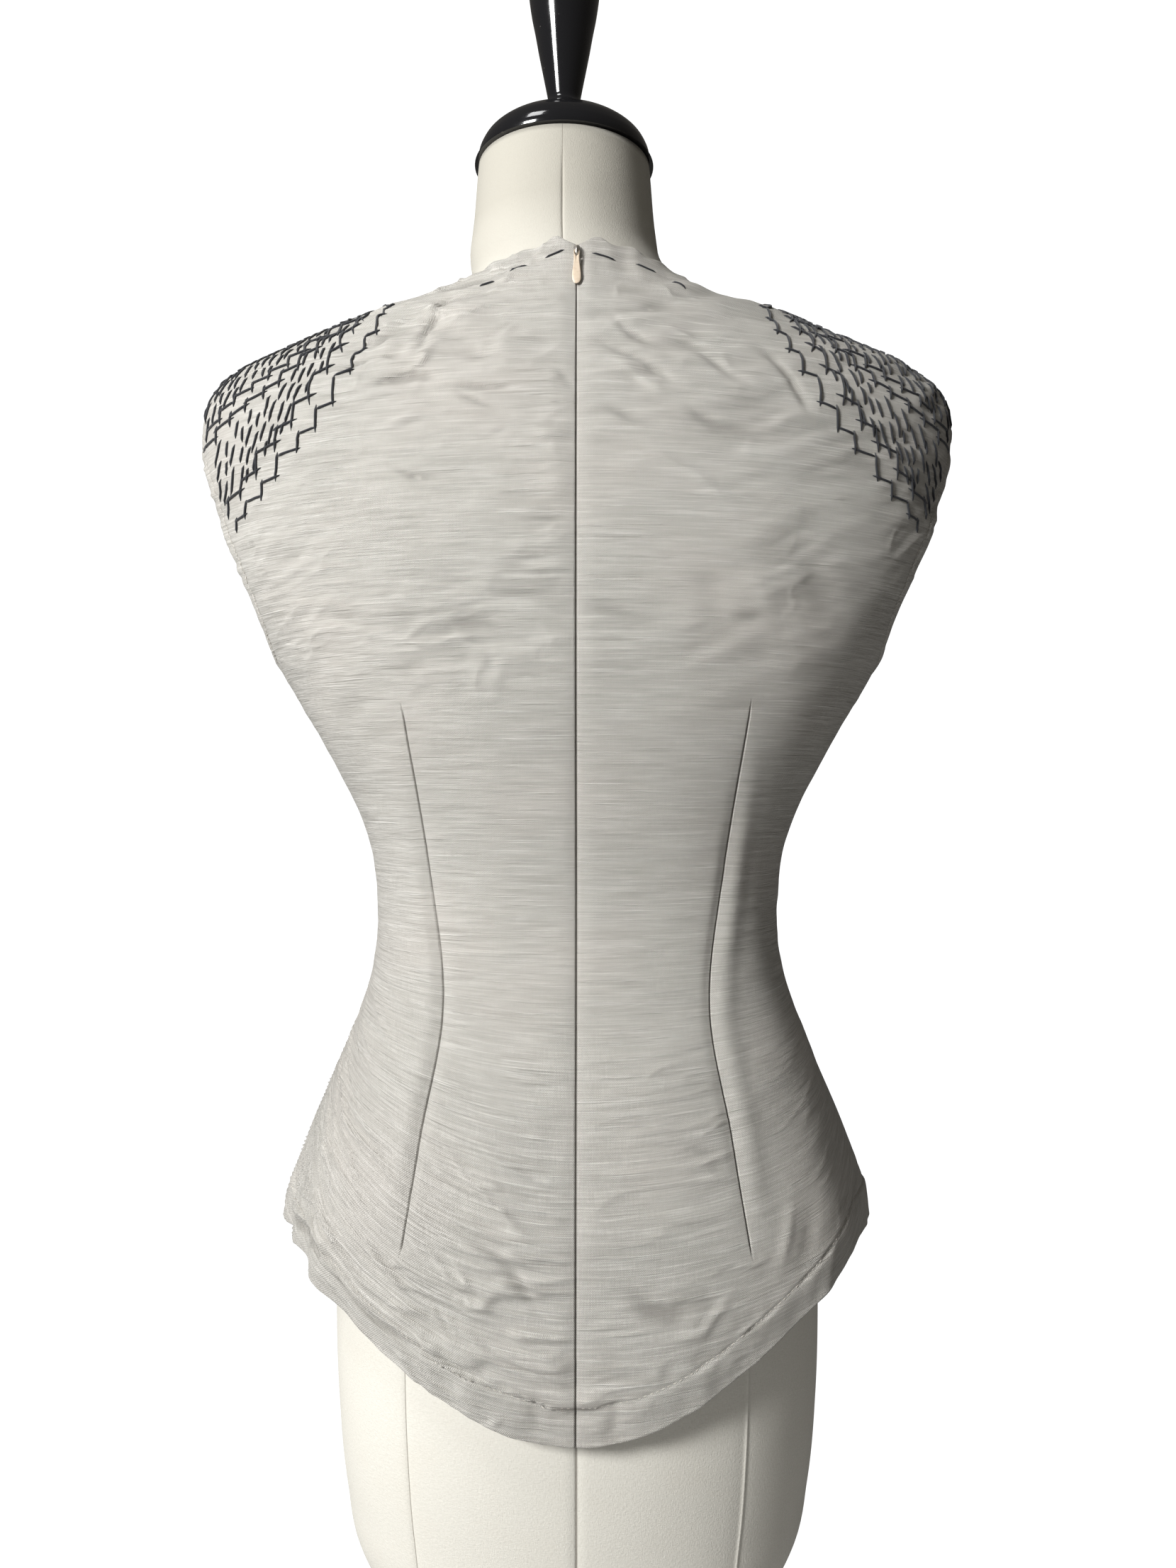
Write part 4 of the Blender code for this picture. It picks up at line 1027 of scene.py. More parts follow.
rng = np.random.default_rng(7)
stair_lines = np.concatenate([
    stairs(OUTER_STAIR, (0.0, 0.0), 0.16, 0.13, rng),
    stairs(OUTER_STAIR, SECOND_SHIFT, 0.34, 0.28, rng),
    stairs(THIRD_STAIR, (0.0, 0.0), 0.16, 0.16, rng),
    stairs(THIRD_STAIR, FOURTH_SHIFT, 0.26, 0.24, rng)])
print("stair stitches:", len(stair_lines))

# %% Dashes between the stairs
def dashes(first, last, pitch, near, far, rng):
    """Leaning dashes in staggered columns; near and far give the cloth length down to each band edge."""
    rows = []
    for n, x in enumerate(np.arange(first, last, pitch)):
        top, foot = near(x), far(x)
        at = top + (0.15 if n % 2 else 0.75)
        while at < foot - 0.45:
            long = min(0.92 + rng.normal(0, 0.14), foot - at)
            lean = 0.30 + rng.normal(0, 0.12)
            shift = rng.normal(0, 0.05)
            rows.append((x + shift, at, x + shift + lean * long, at + long))
            at += long + 0.24 + abs(rng.normal(0, 0.08))
    return np.array(rows)


def down_to(chart, shift, x, gap):
    """Cloth length from the shoulder seam down to a staircase, less a gap."""
    return float(down_of(x, min(foot_line(chart, shift, x), 74.9))[0]) - gap


FOURTH_FROM = 15.2


def below_fourth(x):
    """Where the dashes of the middle field start: under the fourth stair, or nearer the neck the third."""
    if x > FOURTH_FROM:
        return down_to(THIRD_STAIR, FOURTH_SHIFT, x, -0.25)
    return down_to(THIRD_STAIR, (0.0, 0.0), x, -0.2)


def above_second(x):
    """Where the dashes of the middle field stop: at the second stair."""
    return down_to(OUTER_STAIR, SECOND_SHIFT, x, 0.15)


def over_seam(x):
    """A little over the shoulder seam, onto the front."""
    return -1.4


def above_third(x):
    """Where the dashes over the third stair stop."""
    return down_to(THIRD_STAIR, (0.0, 0.0), x, 0.5)


ARM_LIMIT = np.stack([armhole_line(False)[1], armhole_line(False)[0]])


def inside_armhole(places):
    """Which chart places stay inside the armhole's stitched edge."""
    limit = np.where(places[:, 1] > SHOULDER_TIP, np.pi, np.interp(places[:, 1], *ARM_LIMIT))
    return places[:, 0] < limit - radians(2.4)


def shoulder_stitches(side, rng):
    """Every stitch of one shoulder, as start and end places on the cloth."""
    start = on_shoulder(stair_lines[:, 0], down_of(stair_lines[:, 0], stair_lines[:, 1]))
    end = on_shoulder(stair_lines[:, 2], down_of(stair_lines[:, 2], stair_lines[:, 3]))
    marks = np.concatenate([
        dashes(11.9, 20.9, 0.50, below_fourth, above_second, rng),
        dashes(12.0, 21.3, 0.50, over_seam, above_third, rng)])
    start = np.concatenate([start, on_shoulder(marks[:, 0], marks[:, 1])])
    end = np.concatenate([end, on_shoulder(marks[:, 2], marks[:, 3])])
    keep = inside_armhole(start) & inside_armhole(end)
    return start[keep], end[keep]


thread_pieces = []
for word, side in (("left", -1), ("right", 1)):
    start, end = shoulder_stitches(side, np.random.default_rng(11 + side))
    point, normal = stitch_paths(start, end, side, THREAD_RADIUS)
    thread_pieces.append(stitch_piece(f"shoulder_stitches_{word}", point, normal, THREAD_RADIUS))
    print(f"shoulder stitches {word}:", len(start))

# %% [markdown]
# ## Running stitches of the neckline
# Three long black stitches show on each side of the zip, about seven millimetres under the edge. Each
# is placed by its two ends, across and up, on the cloth.
# %% Neckline stitches
NECK_STITCHES = {
    -1: ((-1.69, 75.56, -0.67, 76.01), (-3.54, 74.73, -2.64, 75.17), (-5.15, 73.92, -4.35, 74.16)),
    1: ((0.81, 75.73, 2.10, 75.48), (3.13, 75.36, 4.29, 75.06), (5.09, 74.34, 5.80, 73.89)),
}


def back_place(across, height):
    """Angle and height on the back of points given by their distance across and their height."""
    across, height = np.abs(np.asarray(across, dtype=float)), np.asarray(height, dtype=float)
    return np.stack([angle_at(across, height), height], -1)


for word, side in (("left", -1), ("right", 1)):
    ends = np.array(NECK_STITCHES[side])
    point, normal = stitch_paths(back_place(ends[:, 0], ends[:, 1]), back_place(ends[:, 2], ends[:, 3]),
                                 side, 0.05, steps=7)
    thread_pieces.append(stitch_piece(f"neck_stitches_{word}", point, normal, 0.05))
print("neck stitches:", 6)

# %% [markdown]
# ## Topstitching
# The hem and the armholes are held by a fine machine stitch in the colour of the cloth. It follows the
# edge at an even distance, three stitches to the centimetre, each in its own small dent.
# %% Fine stitches along the edges
FINE_RADIUS = 0.022
STITCH_LONG = 0.22


def even_stitches(places, side):
    """Starts and ends of equal stitches along a line of (angle, height) places."""
    points = body(places[:, 0], places[:, 1])
    length = np.concatenate([[0], np.cumsum(np.linalg.norm(np.diff(points, axis=0), axis=1))])
    at = np.arange(0.1, length[-1] - STITCH_LONG, STITCH_PITCH)
    pick = [np.stack([np.interp(a, length, places[:, 0]), np.interp(a, length, places[:, 1])], -1)
            for a in (at, at + STITCH_LONG)]
    return pick[0], pick[1]


def hem_line():
    """The hem's stitch line from the zip round to the centre of the front."""
    angle = np.linspace(0.004, np.pi - 0.002, 500)
    edge = np.where(np.cos(angle) > 0, hem_height(angle, False), hem_height(np.pi - angle, True))
    return np.stack([angle, edge + HEM_TURN / CLOTH_PER_HEIGHT], -1)


def armhole_stitch_line(front):
    """The armhole's edge moved in by its turn, worked out from the normals of the edge's own line."""
    path = ARMHOLE_PATHS[1 if front else 0]
    way, stops = np.linspace(0, 1, 240), np.linspace(0, 1, len(path))
    fine = np.stack([np.interp(way, stops, path[:, k]) for k in (0, 1)], -1)
    along = np.gradient(fine, axis=0)
    along /= np.linalg.norm(along, axis=1, keepdims=True)
    away = np.stack([along[:, 1], -along[:, 0]], -1) * (1 if front else -1)
    moved = fine + away * ARMHOLE_TURN
    ring_half = arc(np.full(len(moved), np.pi / 2), moved[:, 1])
    keep = (moved[:, 0] > ring_half + 0.05) if front else (moved[:, 0] < ring_half - 0.05)
    moved = moved[keep]
    row = ((moved[:, 1] - ARC_HEIGHTS[0]) / (ARC_HEIGHTS[1] - ARC_HEIGHTS[0])).astype(int)
    angle = np.array([np.interp(place[0], ARC_TABLE[k], ARC_ANGLES) for place, k in zip(moved, row)])
    return np.stack([angle, moved[:, 1]], -1)


for word, side in (("left", -1), ("right", 1)):
    runs = [even_stitches(line, side) for line in
            (hem_line(), armhole_stitch_line(False), armhole_stitch_line(True))]
    start, end = (np.concatenate([run[k] for run in runs]) for k in (0, 1))
    point, normal = stitch_paths(start, end, side, FINE_RADIUS, steps=4, dive=0.03)
    piece = stitch_piece(f"topstitching_{word}", point, normal, FINE_RADIUS, sides=4)
    thread_pieces.append(piece)
    print(f"topstitches {word}:", len(start))

# %% [markdown]
# ## The zip
# Only the slider and its drop shaped tab show of a concealed zip. The tape lies behind the seam. The
# slider is a small plate with a bridge, and the tab hangs on the bridge by its eye and can swing up.
# %% Place of the zip
SLIDER_HEIGHT, SLIDER_REACH = 75.70, 0.35
PULL_LENGTH, PULL_TILT, PIVOT_OUT = 2.10, radians(3.6), 0.235
ZIP_FOOT, TAPE_HALF_WIDTH = 33.0, 0.8
centre_heights = np.array([SLIDER_HEIGHT + SLIDER_REACH, SLIDER_HEIGHT - PULL_LENGTH, SLIDER_HEIGHT])
zip_top, zip_foot, ZIP_ORIGIN = body(np.zeros(3), centre_heights)
ZIP_DOWN = (zip_foot - zip_top) / np.linalg.norm(zip_foot - zip_top)
ZIP_ACROSS = np.array([1.0, 0.0, 0.0])
ZIP_OUT = np.cross(ZIP_DOWN, ZIP_ACROSS)


def in_zip_frame(points):
    """Moves points given as across, down, out into the zip's place."""
    points = np.asarray(points, dtype=float)
    return ZIP_ORIGIN + points[..., :1] * ZIP_ACROSS + points[..., 1:2] * ZIP_DOWN + points[..., 2:] * ZIP_OUT


print("zip origin, cm:", np.round(ZIP_ORIGIN, 2))

# %% Tape, slider and tab
def closed_tube(name, points):
    """A grid whose columns close on themselves; both ends are closed by a face each."""
    steps, sides = points.shape[:2]
    index = np.arange(steps * sides).reshape(steps, sides)
    loop = np.concatenate([index, index[:, :1]], axis=1)
    faces = grid_quads(loop).tolist() + [index[0, ::-1].tolist(), index[-1].tolist()]
    return make_piece(name, points.reshape(-1, 3), faces)


def fix_normals(piece):
    """Turns a closed mesh's faces outwards."""
    shape = bmesh.new()
    shape.from_mesh(piece.data)
    bmesh.ops.recalc_face_normals(shape, faces=shape.faces)
    shape.to_mesh(piece.data)
    shape.free()
    return piece


def tab_points():
    """A domed drop with an eye: a ring whose section runs from the eye out to the edge and back."""
    along_table = np.array([-0.055, 0.00, 0.20, 0.50, 0.95, 1.50, 1.95, 2.22, 2.38, 2.46])
    half_table = np.array([0.095, 0.150, 0.160, 0.150, 0.165, 0.215, 0.245, 0.220, 0.155, 0.070])
    down = np.concatenate([along_table, along_table[::-1]])
    across = np.concatenate([half_table, -half_table[::-1]])
    loop = np.stack([across, down], -1)
    loop = np.concatenate([loop, loop[:1]])
    length = np.concatenate([[0], np.cumsum(np.linalg.norm(np.diff(loop, axis=0), axis=1))])
    at = np.linspace(0, length[-1], 73)[:-1]
    edge = np.stack([np.interp(at, length, loop[:, k]) for k in (0, 1)], -1)
    edge = (np.roll(edge, 1, 0) + 2 * edge + np.roll(edge, -1, 0)) / 4
    middle, tall, wide = 0.2375, 0.1825, 0.115
    turn = np.arctan2(edge[:, 1] - middle, edge[:, 0])
    eye = np.stack([wide * np.cos(turn), middle + tall * np.sin(turn)], -1)
    section = np.linspace(0, 2 * np.pi, 20, endpoint=False)
    mix = (0.5 - 0.5 * np.cos(section))[:, None, None]
    flat = eye[None] * (1 - mix) + edge[None] * mix
    thick = 0.05 * (1 + 0.3 * ease(edge[:, 1] / 1.4))[None] * np.sin(section)[:, None]
    lean_down = flat[..., 1] * np.cos(PULL_TILT) + thick * np.sin(PULL_TILT)
    lean_out = PIVOT_OUT - flat[..., 1] * np.sin(PULL_TILT) + thick * np.cos(PULL_TILT)
    return in_zip_frame(np.stack([flat[..., 0], lean_down, lean_out], -1))


def ring_tube(name, points):
    """A grid closed both ways, such as a ring."""
    index = np.arange(points.shape[0] * points.shape[1]).reshape(points.shape[:2])
    index = np.concatenate([index, index[:1]], axis=0)
    index = np.concatenate([index, index[:, :1]], axis=1)
    return fix_normals(make_piece(name, points.reshape(-1, 3), grid_quads(index).tolist()))


pull_piece = ring_tube("zip_pull_tab", tab_points())


def rounded_slab(half_width, start, end, under, over, corner):
    """A slab with rounded corners: super-ellipse rings from the under side to the top."""
    turn = np.linspace(0, 2 * np.pi, 40, endpoint=False)
    c, s = np.cos(turn), np.sin(turn)
    shape = np.stack([np.sign(c) * np.abs(c) ** 0.5, np.sign(s) * np.abs(s) ** 0.5], -1)
    inset = np.array([corner, corner * 0.3, 0.0, 0.0, corner * 0.3, corner])
    level = np.array([under, under + corner * 0.3, under + corner, over - corner, over - corner * 0.3, over])
    half = np.array([half_width, (end - start) / 2])
    rings = shape[None] * (half - inset[:, None])[:, None, :] + np.array([0.0, (start + end) / 2])
    return np.concatenate([rings, np.broadcast_to(level[:, None, None], rings.shape[:2] + (1,))], -1)


def bridge_points():
    """A strip bent over the tab's eye: a rounded section carried along an arch."""
    t = np.linspace(0, np.pi, 24)
    path = np.stack([-0.30 * np.cos(t) - 0.03, 0.08 + (PIVOT_OUT + 0.115 - 0.08) * np.sin(t) ** 0.55], -1)
    turn = np.linspace(0, 2 * np.pi, 12, endpoint=False)
    along = np.gradient(path, axis=0)
    along /= np.linalg.norm(along, axis=1, keepdims=True)
    normal = np.stack([-along[:, 1], along[:, 0]], -1)
    across = 0.075 * np.sign(np.cos(turn)) * np.abs(np.cos(turn)) ** 0.7
    out = 0.045 * np.sin(turn)
    spot = path[:, None] + normal[:, None] * out[None, :, None]
    return np.concatenate([np.broadcast_to(across[None, :, None], spot.shape[:2] + (1,)), spot], -1)


slab = rounded_slab(half_width=0.18, start=-0.55, end=0.33, under=0.03, over=0.14, corner=0.03)
plate = fix_normals(closed_tube("zip_slider_plate", in_zip_frame(slab)))
bridge = fix_normals(closed_tube("zip_slider_bridge", in_zip_frame(bridge_points())))

TAPE_ROWS, TAPE_COLUMNS, TAPE_UNDER = 130, 8, (0.155, 0.235)
tape_heights = np.linspace(ZIP_FOOT, NECK["back"] - NECK_NOTCH - 0.1, TAPE_ROWS)
tape_sides = []
for side in (-1, 1):
    spots = np.linspace(0, TAPE_HALF_WIDTH, TAPE_COLUMNS)
    heights = np.broadcast_to(tape_heights[:, None], (TAPE_ROWS, TAPE_COLUMNS))
    angles = angle_at(spots[None] + 0 * heights, heights)
    tape_sides.append([cloth_point(angles, heights, side, depth)[0] for depth in TAPE_UNDER])
tape_outer, tape_inner = (np.concatenate([left[:, :0:-1], right], axis=1)
                          for left, right in zip(*tape_sides))
tape_across = np.linspace(-TAPE_HALF_WIDTH, TAPE_HALF_WIDTH, 2 * TAPE_COLUMNS - 1)
tape_flat = np.stack(np.broadcast_arrays(tape_across[None], tape_heights[:, None]), -1)
tape_picks = [np.arange(n) for n in tape_outer.shape[:2]]
tape_piece = sheet_piece("zip_tape_cloth", tape_outer, tape_inner, tape_picks, tape_flat, 0.01)
print("zip tape grid:", tape_outer.shape[:2])

# %% [markdown]
# ## The dress form
# A padded form is covered in cotton that is cut in eight panels. The seams at the centre back and at the
# left of the back are grooves with a dark line, and the others stand up as thin ridges. The cover is one
# surface with extra columns at each seam.
# %% Cover of the form
FORM_SEAMS = (0.0, 36.5, 90.0, 143.5, 180.0, 216.5, 270.0, 323.5)
SEAM_COLUMNS = np.array([-0.30, -0.12, -0.06, 0.0, 0.06, 0.12, 0.30])
FLAT_SEAMS = (0.0, 323.5)
GROOVE_RISE, RIDGE_RISE = -0.05, 0.065
DEGREES_PER_CM = 4.2
NECK_RADIUS = 6.0


def form_columns():
    """Angles round the form: even ones, and seven close together at each seam."""
    even = np.linspace(0, 360, 217)[:-1]
    near = np.abs((even[:, None] - np.array(FORM_SEAMS)[None] + 180) % 360 - 180).min(axis=1)
    crowded = (np.array(FORM_SEAMS)[:, None] + SEAM_COLUMNS[None] * DEGREES_PER_CM).ravel() % 360
    return np.radians(np.sort(np.concatenate([even[near > 1.6], crowded])))


def form_point(angle, height):
    """The form's surface with its seams, as grooves or ridges, and a slight unevenness of the padding."""
    gap = np.abs((np.degrees(angle)[..., None] - np.array(FORM_SEAMS) + 180) % 360 - 180)
    gap = gap / DEGREES_PER_CM
    body_seam = bell(gap, 0.085)
    neck_only = ease((77.0 - height) / 2.0)
    kept = np.stack([np.ones_like(height)] + [neck_only] * 3 + [np.ones_like(height)] + [neck_only] * 3, -1)
    rise = np.where(np.isin(FORM_SEAMS, FLAT_SEAMS), GROOVE_RISE, RIDGE_RISE)
    ridge = (rise * body_seam * kept).sum(-1) - (0.030 * bell(gap, 0.3) * kept).sum(-1)
    uneven = 0.03 * noise(np.cos(angle) * 3 + 9, height / 6, 61)
    uneven = uneven + 0.02 * noise(np.sin(angle) * 4 + 3, height / 4, 63)
    low = ease(height / 6) * ease((83 - height) / 3)
    lift = (ridge + uneven - 0.03) * low
    return form_surface(angle, height) + outward(form_surface, angle, height) * lift[..., None]


columns = form_columns()
heights = np.unique(np.concatenate([np.linspace(0.02, 2.0, 14), np.linspace(2.0, 83.6, 190)]))
angles, levels = np.broadcast_arrays(columns[None], heights[:, None])
# The neck sits to one side, so the seam under it is turned a little to stay plumb.
shifted = ease((levels - NECK_SHIFT_FROM) / (NECK_SHIFT_TO - NECK_SHIFT_FROM))
lag = NECK_SHIFT * (1 - shifted) * ease((levels - 72) / 3)
turned_angles = angles + lag / NECK_RADIUS * (bell(angles, 0.5) + bell(angles - 2 * np.pi, 0.5))
shell = form_surface(turned_angles, levels) + form_point(angles, levels) - form_surface(angles, levels)
floor_ring = shell[0] * np.array([1, 1, 0.0])
shell = np.concatenate([floor_ring[None] * np.array([0.97, 0.97, 1]), shell])
count = len(columns)
index = np.arange(shell.shape[0] * count).reshape(-1, count)
loop = np.concatenate([index, index[:, :1]], axis=1)
faces = grid_quads(loop).tolist() + [index[0, ::-1].tolist(), index[-1].tolist()]
reach = np.concatenate([[0], np.cumsum(np.linalg.norm(np.diff(shell[60], axis=0), axis=1))])
form_flat = np.stack(np.broadcast_arrays(reach[None], shell[..., 2]), -1).reshape(-1, 2)
form_piece = make_piece("form_cover", shell.reshape(-1, 3), faces, form_flat)
from_back, from_left = (np.abs(np.degrees(columns) - seam) < 0.01 for seam in FLAT_SEAMS)
on_seam = from_back | (from_left & (shell[..., 2] < 72.0))
sewn = form_piece.data.attributes.new("dark_seam_and_painted_shade", "FLOAT", "POINT")
sewn.data.foreach_set("value", on_seam.ravel().astype(np.float32))
print("form grid:", shell.shape[:2])

# %% [markdown]
# ## Neck cap and finial
# Both are turned on a lathe from wood and lacquered black. A short profile is smoothed and carried
# round the neck's axis; each end is closed by one face.
# %% Turned pieces
CAP_PROFILE = (
    (0.05, 83.68), (4.85, 83.68), (4.98, 83.74), (5.03, 83.95), (5.02, 84.20), (4.93, 84.52), (4.65, 85.00),
    (4.15, 85.45), (3.50, 85.85), (2.70, 86.20), (1.90, 86.50), (1.45, 86.61), (0.05, 86.62),
)
FINIAL_PROFILE = (
    (0.05, 86.65), (1.22, 86.65), (1.30, 86.85), (1.27, 87.15), (1.05, 87.35), (0.95, 87.65),
    (1.02, 88.10), (1.30, 89.50), (1.50, 90.50), (1.70, 91.60), (1.90, 92.60), (2.06, 93.70),
    (2.14, 94.70), (2.05, 95.50), (1.70, 96.10), (1.05, 96.45), (0.05, 96.60),
)


def turned(name, profile, sharp=()):
    """Carries a profile of radius and height round the neck's axis, with a smooth curve between points."""
    profile = np.array(profile)
    t = np.arange(len(profile), dtype=float)
    table = {"t": t, "radius": profile[:, 0], "height": profile[:, 1]}
    fine = np.unique(np.concatenate([np.linspace(0, len(t) - 1, 6 * len(t)), t]))
    curve = (fine >= 1.0) & (fine <= len(t) - 2)
    radius = np.where(curve, smooth(table, "radius", fine), np.interp(fine, t, profile[:, 0]))
    level = np.where(curve, smooth(table, "height", fine), np.interp(fine, t, profile[:, 1]))
    turn = np.linspace(0, 2 * np.pi, 96, endpoint=False)
    points = np.stack([NECK_SHIFT + radius[:, None] * np.sin(turn), -radius[:, None] * np.cos(turn),
                       level[:, None] + 0 * turn], -1)
    return fix_normals(closed_tube(name, points))


cap_piece = turned("form_cap_turned", CAP_PROFILE)
finial_piece = turned("form_finial_turned", FINIAL_PROFILE)
print("turned pieces:", cap_piece.name, finial_piece.name)

# %% [markdown]
# ## Materials
# Every finish is made of nodes. The cloth reads its own UV map, which is in centimetres along the weft
# and the warp, so the yarns follow the cut of each panel. Constant values are set on the shader itself.
# %% Node helpers
def finish(name, colour, roughness, **constants):
    """A new material and its node tree, with constant values on the shader's sockets."""
    made = bpy.data.materials.new(name)
    made.use_nodes = True
    shader = made.node_tree.nodes["Principled BSDF"]
    shader.inputs["Base Color"].default_value = (*colour, 1.0)
    shader.inputs["Roughness"].default_value = roughness
    for socket, value in constants.items():
        shader.inputs[socket.replace("_", " ")].default_value = value
    return made, made.node_tree, shader


def node(tree, kind, inputs=(), **settings):
    """Adds a node; each input is linked if it is a socket, and set if it is a value."""
    made = tree.nodes.new("ShaderNode" + kind)
    for key, value in settings.items():
        setattr(made, key, value)
    for key, value in dict(inputs).items():
        if isinstance(value, bpy.types.NodeSocket):
            tree.links.new(value, made.inputs[key])
        else:
            made.inputs[key].default_value = value
    return made


def yarn(tree, flat, scale, detail=2.0, roughness=0.5, offset=(0.0, 0.0, 0.0), turn=0.0):
    """Noise stretched along the cloth: scale is how many changes a centimetre along each way."""
    place = node(tree, "Mapping", {"Vector": flat, "Scale": (scale[0], scale[1], 1.0), "Location": offset,
                                   "Rotation": (0.0, 0.0, turn)})
    return node(tree, "TexNoise", {"Vector": place.outputs[0], "Scale": 1.0, "Detail": detail,
                                   "Roughness": roughness}).outputs["Fac"]


def steps(tree, value, low, high):
    """0 below low, 1 above high, straight between."""
    return node(tree, "MapRange", {"Value": value, "From Min": low, "From Max": high}).outputs[0]


def sums(tree, *parts):
    """Adds sockets, each times its own weight."""
    total = 0.0
    for socket, weight in parts:
        scaled = node(tree, "Math", {0: socket, 1: weight, 2: total}, operation="MULTIPLY_ADD")
        total = scaled.outputs[0]
    return total


def blend_colour(tree, share, first, second, mode="MIX"):
    """Mixes two colours or colour sockets."""
    return node(tree, "MixRGB", {"Fac": share, "Color1": first, "Color2": second}, blend_type=mode).outputs[0]


# %% [markdown]
# ## Slubby cloth
# Silk and linen yarns change in thickness, so long pale slubs and thin dark lines run along the weft.
# Under them two fine twills cross and give a dotted grain that is just visible close up. The seams and the
# hollows of the creases, which the relief marked, get painted shade.
# %% Vest cloth
CLOTH_LIGHT = (0.785, 0.765, 0.72, 1.0)
CLOTH_DEEP = (0.385, 0.37, 0.335, 1.0)
CLOTH_SHADOW = (0.26, 0.245, 0.21, 1.0)


def slub_cloth(name):
    """Weft streaks, slubs, dark lines and crossed twills, used for the colour and for the bump."""
    made, tree, shader = finish(name, CLOTH_LIGHT[:3], 0.62, Sheen_Weight=0.08, Sheen_Roughness=0.5,
                                Specular_IOR_Level=0.40)
    flat = node(tree, "UVMap", uv_map="cloth").outputs[0]
    weft = yarn(tree, flat, (0.26, 14.0), 5.0, 0.80)
    broad = yarn(tree, flat, (0.20, 5.0), 2.0, 0.5, (3.0, 7.0, 0.0))
    slubs = steps(tree, yarn(tree, flat, (0.20, 13.0), 2.0, 0.5, (11.0, 2.0, 0.0)), 0.60, 0.72)
    lines = steps(tree, yarn(tree, flat, (0.20, 19.0), 2.0, 0.5, (5.0, 9.0, 0.0)), 0.60, 0.70)
    warp = yarn(tree, flat, (15.0, 1.2), 2.0, 0.5)
    tone = yarn(tree, flat, (0.09, 0.10), 2.0, 0.5)
    place = node(tree, "Mapping", {"Vector": flat, "Rotation": (0.0, 0.0, radians(38))})
    twill = node(tree, "TexWave", {"Vector": place.outputs[0], "Scale": 4.4, "Distortion": 1.6,
                                   "Detail": 1.0, "Detail Scale": 3.0}).outputs["Fac"]
    place = node(tree, "Mapping", {"Vector": flat, "Rotation": (0.0, 0.0, radians(-38))})
    cross = node(tree, "TexWave", {"Vector": place.outputs[0], "Scale": 4.4, "Distortion": 1.6,
                                   "Detail": 1.0, "Detail Scale": 3.0}).outputs["Fac"]
    twill = node(tree, "Math", {0: twill, 1: cross}, operation="MULTIPLY").outputs[0]
    shade = sums(tree, (weft, 0.62), (broad, 0.12), (warp, 0.12), (twill, 0.20))
    colour = blend_colour(tree, steps(tree, shade, 0.42, 0.68), CLOTH_DEEP, CLOTH_LIGHT)
    colour = blend_colour(tree, steps(tree, slubs, 0.0, 2.0), colour, (0.90, 0.885, 0.84, 1.0))
    colour = blend_colour(tree, steps(tree, lines, 0.0, 2.2), colour, CLOTH_SHADOW)
    colour = blend_colour(tree, steps(tree, tone, 0.45, 2.6), colour, (0.70, 0.60, 0.545, 1.0))
    # Painted shade: seams and crease hollows, as the relief marked them, are mixed towards near black.
    dark_seam_and_painted_shade = node(tree, "Attribute", attribute_name="dark_seam_and_painted_shade").outputs["Fac"]
    colour = blend_colour(tree, steps(tree, dark_seam_and_painted_shade, 0.15, 1.15), colour, (0.085, 0.075, 0.06, 1.0))
    tree.links.new(colour, shader.inputs["Base Color"])
    wrinkle = yarn(tree, flat, (0.45, 2.6), 4.0, 0.62, (1.0, 6.0, 0.0))
    height = sums(tree, (weft, 0.55), (broad, 0.30), (slubs, 0.45), (lines, -0.30), (warp, 0.25),
                  (twill, 0.45))
    bump = node(tree, "Bump", {"Strength": 0.85, "Distance": 0.0008, "Height": height})
    soft = node(tree, "Bump", {"Strength": 0.45, "Distance": 0.0022, "Height": wrinkle,
                               "Normal": bump.outputs[0]})
    tree.links.new(soft.outputs[0], shader.inputs["Normal"])
    dull = sums(tree, (slubs, -0.10), (lines, 0.08), (weft, 0.12), (tone, 0.02))
    dull = node(tree, "Math", {0: dull, 1: 0.48}, operation="ADD").outputs[0]
    tree.links.new(dull, shader.inputs["Roughness"])
    return made


vest_cloth = slub_cloth("slub_cloth")
print("cloth nodes:", len(vest_cloth.node_tree.nodes))

# %% Threads, tape, metal and the tab
def thread(name, colour, twist):
    """Twisted thread: slanting plies along the stitch, with a soft matt sheen."""
    made, tree, shader = finish(name, colour, 0.72, Sheen_Weight=0.25, Sheen_Roughness=0.5,
                                Specular_IOR_Level=0.25)
    flat = node(tree, "UVMap", uv_map="cloth").outputs[0]
    place = node(tree, "Mapping", {"Vector": flat, "Scale": (1.0, twist, 1.0),
                                   "Rotation": (0, 0, radians(30))})
    ply = node(tree, "TexWave", {"Vector": place.outputs[0], "Scale": 1.6, "Distortion": 0.6}).outputs["Fac"]
    fuzz = yarn(tree, flat, (8.0, 30.0), 2.0, 0.6)
    light = tuple(min(1.0, c * 1.8 + 0.01) for c in colour) + (1.0,)
    mixed = sums(tree, (ply, 0.6), (fuzz, 0.4))
    tree.links.new(blend_colour(tree, mixed, (*colour, 1.0), light), shader.inputs["Base Color"])
    bump = node(tree, "Bump", {"Strength": 0.6, "Distance": 0.0002, "Height": mixed})
    tree.links.new(bump.outputs[0], shader.inputs["Normal"])
    return made


black_thread = thread("black_thread", (0.008, 0.009, 0.012), 9.0)
tone_thread = thread("tone_thread", (0.46, 0.435, 0.39), 14.0)


